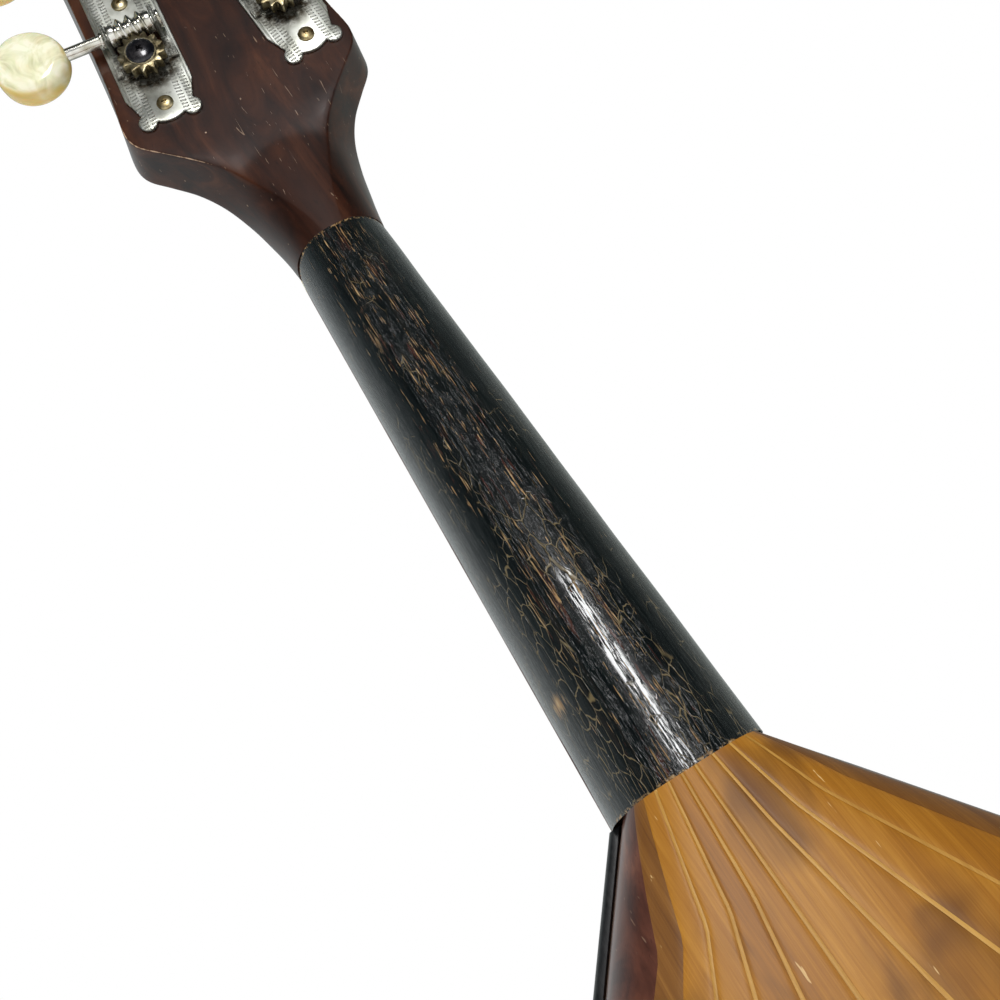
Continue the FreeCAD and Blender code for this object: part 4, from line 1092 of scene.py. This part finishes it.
def worm_thread():
    columns, rows = 36, 96
    length = 3.0 * WORM_LEAD

    def place(i, j):
        x = -0.5 * length + length * j / rows
        lead = 2.0 * math.pi * x / WORM_LEAD
        around = 2.0 * math.pi * (i % columns) / columns
        return Vector((x, 0.7 * MM * math.cos(lead) + 3.15 * MM * math.cos(around),
                       0.7 * MM * math.sin(lead) + 3.15 * MM * math.sin(around)))
    piece = shaped_grid("thread", columns, rows, place, lambda i, j: (i * MM, j * MM))
    close_up(piece)
    return piece


def turned_shaft(outward):
    """Collars and shank about X, from the far ear to the button."""
    reach = 1.5 * WORM_LEAD
    rings = []
    for s in (1, -1):
        ring = rod("collar", (s * (reach - 0.3 * MM), 0, 0), (s * 6.75 * MM, 0, 0), 3.0 * MM, 40)
        apply_modifier(ring, "BEVEL", width=0.35 * MM, segments=3, limit_method="ANGLE")
        rings.append(ring)
    shank = rod("shank", (-outward * 8.6 * MM, 0, 0), (outward * 22.0 * MM, 0, 0), SHAFT_RADIUS, 40)
    cap = rod("cap", (-outward * 8.3 * MM, 0, 0), (-outward * 9.35 * MM, 0, 0), 2.5 * MM, 32)
    apply_modifier(cap, "BEVEL", width=0.3 * MM, segments=3, limit_method="ANGLE")
    outer = rod("outer_collar", (outward * 8.3 * MM, 0, 0), (outward * 9.3 * MM, 0, 0), 2.2 * MM, 32)
    apply_modifier(outer, "BEVEL", width=0.25 * MM, segments=3, limit_method="ANGLE")
    return rings + [shank, cap, outer]


def bright_nickel():
    made, tree, shader = material("bright_nickel", Metallic=1.0)
    haze = grain(tree, coordinates(tree, "Object", (260, 260, 260)), 4, 0.6)
    colour = ramp(tree, haze, [(0.28, (0.34, 0.31, 0.22)), (0.45, (0.62, 0.60, 0.52)),
                               (0.65, (0.80, 0.79, 0.74))])
    tree.links.new(colour, shader.inputs["Base Color"])
    level = spread(tree, haze, 0.32, 0.12)
    tree.links.new(level, shader.inputs["Roughness"])
    fine = grain(tree, coordinates(tree, "Object", (1400, 1400, 1400)), 2, 0.6)
    tree.links.new(bump(tree, fine, 0.08, 0.0001), shader.inputs["Normal"])
    return made


BRIGHT_NICKEL = bright_nickel()
for number, (side, place) in enumerate(TUNERS):
    shaft = joined([worm_thread()] + turned_shaft(-side), "worm_and_shaft_%d" % (number + 1))
    smooth(shaft, 40)
    middle = Matrix.Translation((0, GEAR_FROM_SCREW + TUNER_PITCH * place + WORM_TO_GEAR, WORM_HEIGHT))
    shaft.data.transform(plate_matrix(side) @ middle)
    finish_piece(shaft, "key_%d" % (number + 1), "bright_shaft", BRIGHT_NICKEL, "worm_shaft_%d" % (number + 1))

# ---------------------------------------------------------------------------------------------------
# Tuner buttons: moulded pearl plastic, oval, with softly crowned faces and a step round the rim where
# the clear outer layer has yellowed.
# ---------------------------------------------------------------------------------------------------
BUTTON_FROM_GEAR = 30.2 * MM
BUTTON_WIDE = 10.6 * MM
BUTTON_TALL = 11.0 * MM
BUTTON_HALF = 4.3 * MM


def button_shape(outward):
    columns, rows = 72, 36

    def place(i, j):
        turn = 2.0 * math.pi * (i % columns) / columns
        lift = math.pi * (j / rows - 0.5)
        c, s = math.cos(lift), math.sin(lift)
        flat = max(c, 0.0) ** 0.42
        height = math.copysign(abs(s) ** 0.62, s)
        x = BUTTON_WIDE * math.cos(turn) * flat
        y = BUTTON_TALL * math.sin(turn) * flat
        taper = 1.0 - 0.10 * (-outward * x / BUTTON_WIDE) * 0.5
        dish = 0.10 * (1.0 - min((flat / 0.72) ** 2, 1.0))
        return Vector((x, y * taper, BUTTON_HALF * height * (1.0 - dish)))
    piece = shaped_grid("button", columns, rows, place, lambda i, j: (i * MM, j * MM))
    close_up(piece)
    return piece


def pearl_plastic():
    made, tree, shader = material("pearl_plastic", Roughness=0.22, Subsurface_Weight=0.35, Subsurface_Scale=0.004,
                                  Coat_Weight=0.8, Coat_Roughness=0.10, Specular_IOR_Level=0.5)
    swirl = grain(tree, coordinates(tree, "Object", (95, 95, 95)), 3, 0.5, 3.0)
    cloud = grain(tree, coordinates(tree, "Object", (45, 45, 45), (1, 2, 3)), 2, 0.5, 1.5)
    colour = ramp(tree, swirl, [(0.34, (0.55, 0.54, 0.34)), (0.50, (0.70, 0.69, 0.47)),
                                (0.64, (0.80, 0.78, 0.62))])
    colour = mixed(tree, times(tree, between(tree, cloud, 0.45, 0.65), 0.35), colour, (0.80, 0.76, 0.50))
    rim = node(tree, "Attribute", attribute_name="rim").outputs["Fac"]
    patch = grain(tree, coordinates(tree, "Object", (120, 120, 120), (7, 7, 7)), 2, 0.5)
    yellow = times(tree, rim, between(tree, patch, 0.25, 0.60))
    colour = mixed(tree, times(tree, yellow, 0.85), colour, (0.66, 0.47, 0.09))
    tree.links.new(colour, shader.inputs["Base Color"])
    tree.links.new(bump(tree, swirl, 0.06, 0.0006), shader.inputs["Normal"])
    return made


PEARL = pearl_plastic()
for number, (side, place) in enumerate(TUNERS):
    button = button_shape(-side)
    button.name = "pearl_button_%d" % (number + 1)
    rim = button.data.attributes.new("rim", "FLOAT", "POINT")
    for index, vertex in enumerate(button.data.vertices):
        away = math.hypot(vertex.co.x / BUTTON_WIDE, vertex.co.y / BUTTON_TALL)
        rim.data[index].value = min(max((away - 0.90) / 0.08, 0.0), 1.0)
    smooth(button, 60)
    worm_y = GEAR_FROM_SCREW + TUNER_PITCH * place + WORM_TO_GEAR
    reach = Matrix.Translation((-side * BUTTON_FROM_GEAR, worm_y, WORM_HEIGHT))
    button.data.transform(plate_matrix(side) @ reach)
    finish_piece(button, "key_%d" % (number + 1), "pearl", PEARL, "tuner_button_%d" % (number + 1))

# ---------------------------------------------------------------------------------------------------
# String posts and their ferrules on the front of the head: nickelled steel, turned.
# ---------------------------------------------------------------------------------------------------


def reskin(name, skin):
    """A node whose shape is right keeps its mesh and gets its finish."""
    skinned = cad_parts[name]
    skinned.data.materials.clear()
    skinned.data.materials.append(skin)


for number in (1, 2, 3):
    reskin("string_post_%d" % number, BRIGHT_NICKEL)
reskin("post_ferrules", PLAIN_NICKEL)
reskin("tailpiece", PLAIN_NICKEL)
reskin("tail_screws", SCREW_BRASS)

# ---------------------------------------------------------------------------------------------------
# Soundboard: quartered spruce, close straight grain down its length, amber with old lacquer. The
# guard plate and the ring round the soundhole are let in flush.
# ---------------------------------------------------------------------------------------------------


def spruce_top():
    made, tree, shader = material("spruce_top", Coat_Weight=0.7, Coat_Roughness=0.16, Specular_IOR_Level=0.35)
    place = node(tree, "SeparateXYZ", {0: node(tree, "TexCoord").outputs["Object"]})
    wander = grain(tree, coordinates(tree, "Object", (18, 18, 5)), 2, 0.5)
    across = plus(tree, place.outputs[0], times(tree, wander, 0.010))
    ring = math_node(tree, "SINE", times(tree, across, 4300.0))
    ring = math_node(tree, "POWER", plus(tree, times(tree, ring, 0.5), 0.5), 3.0)
    vary = grain(tree, coordinates(tree, "Object", (170, 170, 4), (3, 0, 0)), 3, 0.6)
    fibre = grain(tree, coordinates(tree, "Object", (2600, 2600, 60)), 4, 0.6)
    silk = grain(tree, coordinates(tree, "Object", (60, 60, 380), (8, 0, 0)), 3, 0.5)
    level = plus(tree, times(tree, ring, 0.30), times(tree, vary, 0.35))
    level = plus(tree, level, times(tree, fibre, 0.25))
    colour = ramp(tree, level, [(0.18, (0.72, 0.44, 0.17)), (0.45, (0.62, 0.34, 0.11)),
                                (0.80, (0.40, 0.18, 0.045))])
    colour = mixed(tree, times(tree, between(tree, silk, 0.58, 0.70), 0.16), colour, (0.85, 0.58, 0.28))
    age = grain(tree, coordinates(tree, "Object", (14, 14, 14), (1, 1, 1)), 3, 0.6)
    colour = mixed(tree, times(tree, between(tree, age, 0.52, 0.75), 0.4), colour, (0.33, 0.15, 0.04))
    tree.links.new(colour, shader.inputs["Base Color"])
    tree.links.new(spread(tree, vary, 0.34, 0.50),
                   shader.inputs["Roughness"])
    tree.links.new(bump(tree, level, 0.12, 0.0002), shader.inputs["Normal"])
    return made


reskin("soundboard", spruce_top())
GUARD_BLACK = black_stain("guard_black", (0.06, 0.04, 0.03), 0.9, 0.3)
reskin("guard_plate", GUARD_BLACK)
hole_low, hole_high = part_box("soundhole_ring")


def ring_inlay():
    """Concentric black and light rings with a band of small brown lozenges between them."""
    made, tree, shader = material("ring_inlay", Coat_Weight=0.7, Coat_Roughness=0.16, Roughness=0.4)
    centre_z = (hole_low.z + hole_high.z) / 2
    place = node(tree, "SeparateXYZ", {0: node(tree, "TexCoord").outputs["Object"]})
    dz = minus(tree, place.outputs[2], centre_z)
    away = math_node(tree, "POWER", plus(tree, math_node(tree, "POWER", place.outputs[0], 2.0),
                                               math_node(tree, "POWER", dz, 2.0)), 0.5)
    turn = math_node(tree, "ARCTAN2", dz, place.outputs[0])
    part = node(tree, "MapRange", {"Value": away, "From Min": 0.016, "From Max": 0.021}).outputs["Result"]
    bands = node(tree, "ValToRGB", {"Fac": part})
    bands.color_ramp.interpolation = "CONSTANT"
    stops = [(0.0, (0.01, 0.01, 0.01)), (0.12, (0.62, 0.45, 0.22)), (0.22, (0.01, 0.01, 0.01)),
             (0.30, (0.16, 0.06, 0.02)), (0.70, (0.01, 0.01, 0.01)), (0.78, (0.62, 0.45, 0.22)),
             (0.88, (0.01, 0.01, 0.01))]
    while len(bands.color_ramp.elements) < len(stops):
        bands.color_ramp.elements.new(0.5)
    for element, (stop, colour) in zip(bands.color_ramp.elements, stops):
        element.position = stop
        element.color = (*colour, 1.0)
    spoke = math_node(tree, "ABSOLUTE", math_node(tree, "SINE", times(tree, turn, 24.0)))
    middle = math_node(tree, "ABSOLUTE", minus(tree, part, 0.5))
    lozenge = plus(tree, times(tree, middle, 4.2), inverse(tree, spoke))
    lozenge = inverse(tree, between(tree, lozenge, 0.50, 0.56))
    colour = mixed(tree, lozenge, bands.outputs["Color"], (0.66, 0.50, 0.27))
    tree.links.new(colour, shader.inputs["Base Color"])
    fibre = grain(tree, coordinates(tree, "Object", (1500, 1500, 300)), 3, 0.6)
    tree.links.new(bump(tree, fibre, 0.1, 0.0001), shader.inputs["Normal"])
    return made


reskin("soundhole_ring", ring_inlay())

# ---------------------------------------------------------------------------------------------------
# Bottom board, and the bare wood inside: neck block, linings and the bars under the soundboard.
# ---------------------------------------------------------------------------------------------------
reskin("bottom_board", SIDE_MAHOGANY)


def bare_wood(name, dark, light, scale):
    made, tree, shader = material(name, Specular_IOR_Level=0.25)
    fibre = grain(tree, coordinates(tree, "Object", scale), 5, 0.65, 0.4)
    broad = grain(tree, coordinates(tree, "Object", tuple(k * 0.12 for k in scale), (2, 2, 2)), 3, 0.6)
    level = plus(tree, times(tree, fibre, 0.5), times(tree, broad, 0.5))
    tree.links.new(ramp(tree, level, [(0.34, dark), (0.66, light)]), shader.inputs["Base Color"])
    tree.links.new(spread(tree, fibre, 0.55, 0.75),
                   shader.inputs["Roughness"])
    tree.links.new(bump(tree, fibre, 0.25, 0.0002), shader.inputs["Normal"])
    return made


INNER_WOOD = bare_wood("inner_wood", (0.42, 0.27, 0.13), (0.66, 0.48, 0.28), (900, 900, 60))
for name in ("neck_block", "linings", "soundboard_bars"):
    reskin(name, INNER_WOOD)

# ---------------------------------------------------------------------------------------------------
# Fingerboard, frets, dots and nut: a brown hardwood board glued to the neck and over the soundboard,
# with nickel fret wire pressed into sawn slots, pearl dots and a bone nut.
# ---------------------------------------------------------------------------------------------------


def softened(node_name, new_name, width, angle=40):
    """A copy of a CAD node with its corners rounded over."""
    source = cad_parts[node_name]
    piece = bpy.data.objects.new(new_name, source.data.copy())
    bpy.context.scene.collection.objects.link(piece)
    shell = bmesh.new()
    shell.from_mesh(piece.data)
    bmesh.ops.remove_doubles(shell, verts=shell.verts, dist=1e-6)
    bmesh.ops.dissolve_limit(shell, angle_limit=math.radians(1.0), verts=shell.verts, edges=shell.edges)
    shell.to_mesh(piece.data)
    shell.free()
    apply_modifier(piece, "BEVEL", width=width, segments=3, limit_method="ANGLE", angle_limit=math.radians(angle))
    smooth(piece, angle)
    return piece


FINGERBOARD_WOOD = bare_wood("fingerboard_wood", (0.028, 0.012, 0.007), (0.115, 0.052, 0.026), (1500, 1500, 90))
finish_piece(softened("fingerboard", "fingerboard_oiled", 0.35 * MM, 60), "instrument", "fingerboard_wood",
             FINGERBOARD_WOOD, "fingerboard")
reskin("frets", BRIGHT_NICKEL)
reskin("position_dots", PEARL)


def bone():
    made, tree, shader = material("bone", Subsurface_Weight=0.2, Subsurface_Scale=0.003, Coat_Weight=0.3)
    pores = grain(tree, coordinates(tree, "Object", (900, 900, 260)), 4, 0.6)
    colour = ramp(tree, pores, [(0.35, (0.55, 0.45, 0.28)), (0.55, (0.74, 0.67, 0.50)),
                                (0.75, (0.82, 0.77, 0.63))])
    tree.links.new(colour, shader.inputs["Base Color"])
    tree.links.new(spread(tree, pores, 0.30, 0.45),
                   shader.inputs["Roughness"])
    tree.links.new(bump(tree, pores, 0.12, 0.0001), shader.inputs["Normal"])
    return made


BONE = bone()
finish_piece(softened("nut", "bone_nut", 0.25 * MM, 50), "instrument", "bone", BONE, "nut")
finish_piece(softened("bottom_saddle", "bone_saddle", 0.4 * MM, 50), "instrument", "bone", BONE, "bottom_saddle")

# ---------------------------------------------------------------------------------------------------
# Bridge: maple, thin at its top edge, standing on two feet under the strings' pressure.
# ---------------------------------------------------------------------------------------------------
MAPLE = bare_wood("maple", (0.42, 0.22, 0.08), (0.66, 0.42, 0.19), (90, 1300, 1300))
finish_piece(softened("bridge", "maple_bridge", 0.35 * MM, 50), "instrument", "maple", MAPLE, "bridge")

# ---------------------------------------------------------------------------------------------------
# Strings: one plain steel and two pale nylon, from the posts over nut, bridge and saddle to the pins.
# ---------------------------------------------------------------------------------------------------


def string_skin(name, metallic, dark, light, rough):
    made, tree, shader = material(name, Metallic=metallic)
    draw = grain(tree, coordinates(tree, "Object", (2000, 2000, 500)), 3, 0.6)
    tree.links.new(ramp(tree, draw, [(0.3, dark), (0.7, light)]), shader.inputs["Base Color"])
    tree.links.new(spread(tree, draw, rough, rough + 0.12),
                   shader.inputs["Roughness"])
    return made


STEEL_STRING = string_skin("steel_string", 1.0, (0.42, 0.41, 0.38), (0.72, 0.71, 0.68), 0.22)
PALE_STRING = string_skin("pale_string", 0.0, (0.62, 0.56, 0.42), (0.80, 0.76, 0.64), 0.25)
for number in (1, 2, 3):
    string_finish = STEEL_STRING if number == 1 else PALE_STRING
    reskin("string_%d" % number, string_finish)
    reskin("string_wind_%d" % number, string_finish)

# ---------------------------------------------------------------------------------------------------
# The studio: pale floor well below the hanging instrument, an even white surround, and soft lights.
# ---------------------------------------------------------------------------------------------------
bpy.ops.object.select_all(action="DESELECT")
bpy.ops.mesh.primitive_plane_add(size=6.0, location=(0.0, 0.0, cad_box[0][2] - 0.03))
floor = bpy.context.object
floor.name = "studio_floor"
floor_skin = material("floor_paint", Base_Color=(0.86, 0.86, 0.86, 1.0), Roughness=0.8)[0]
floor.data.materials.append(floor_skin)

world = bpy.data.worlds.new("studio")
bpy.context.scene.world = world
world.use_nodes = True
air = world.node_tree
air.nodes.clear()
path = node(air, "LightPath")
look = node(air, "SeparateXYZ", {0: node(air, "TexCoord").outputs["Generated"]})
white = node(air, "Background", {"Color": (1.0, 1.0, 1.0, 1.0), "Strength": 1.0})
even = node(air, "Background", {"Color": (0.96, 0.98, 1.0, 1.0), "Strength": 0.50})
# what polished surfaces mirror: a dark room behind the viewer, pale walls to the sides and beyond
depth_tone = ramp(air, between(air, look.outputs[1], -1.0, 1.0),
                  [(0.0, (0.62, 0.66, 0.66)), (0.35, (0.46, 0.51, 0.52)), (0.62, (0.17, 0.215, 0.225)),
                   (0.90, (0.02, 0.025, 0.028))])
side_tone = ramp(air, between(air, look.outputs[0], -1.0, 1.0),
                 [(0.0, (0.55, 0.56, 0.52)), (0.5, (0.70, 0.70, 0.70)), (1.0, (1.0, 1.0, 1.0))])
mirrored_room = mixed(air, 1.0, depth_tone, side_tone, "MULTIPLY")
mirror = node(air, "Background", {"Color": mirrored_room, "Strength": 0.9})
lit = node(air, "MixShader", {0: path.outputs["Is Diffuse Ray"], 1: mirror.outputs[0], 2: even.outputs[0]})
sky = node(air, "MixShader", {0: path.outputs["Is Camera Ray"], 1: lit.outputs[0], 2: white.outputs[0]})
node(air, "OutputWorld", {"Surface": sky.outputs[0]})
bpy.context.scene.view_settings.view_transform = "Standard"


def soft_light(name, place, target, width, height_, watts, mirrored):
    lamp = bpy.data.lights.new(name, "AREA")
    lamp.shape = "RECTANGLE"
    lamp.size, lamp.size_y = width, height_
    lamp.energy = watts
    holder = bpy.data.objects.new(name, lamp)
    bpy.context.scene.collection.objects.link(holder)
    holder.location = place
    holder.visible_glossy = mirrored
    holder.rotation_euler = (Vector(target) - Vector(place)).to_track_quat("-Z", "Y").to_euler()


soft_light("window", (-0.10, 1.15, 0.22), (0.0, 0.02, -0.14), 0.20, 0.34, 5.5, True)
soft_light("key", (0.75, 0.75, 0.55), (0.0, 0.02, -0.10), 0.7, 0.7, 7.0, False)
soft_light("fill", (-0.9, 0.55, -0.35), (0.0, 0.0, -0.15), 0.9, 0.9, 4.0, False)
soft_light("front", (0.3, -0.9, 0.3), (0.0, 0.0, -0.15), 0.9, 0.9, 9.0, False)

# ---------------------------------------------------------------------------------------------------
# Camera: behind and a little below the heel, close to the neck, looking up towards the head.
# ---------------------------------------------------------------------------------------------------
camera_data = bpy.data.cameras.new("camera")
camera_data.lens = 32.42
camera_data.sensor_width = 36.0
camera_data.clip_start = 0.01
camera = bpy.data.objects.new("camera", camera_data)
bpy.context.scene.collection.objects.link(camera)
camera.location = (0.026615, 0.201351, HEEL_Z - 0.018231)
camera.rotation_euler = [math.radians(a) for a in (120.052, 29.35, -171.622)]
bpy.context.scene.camera = camera

bpy.context.view_layer.update()
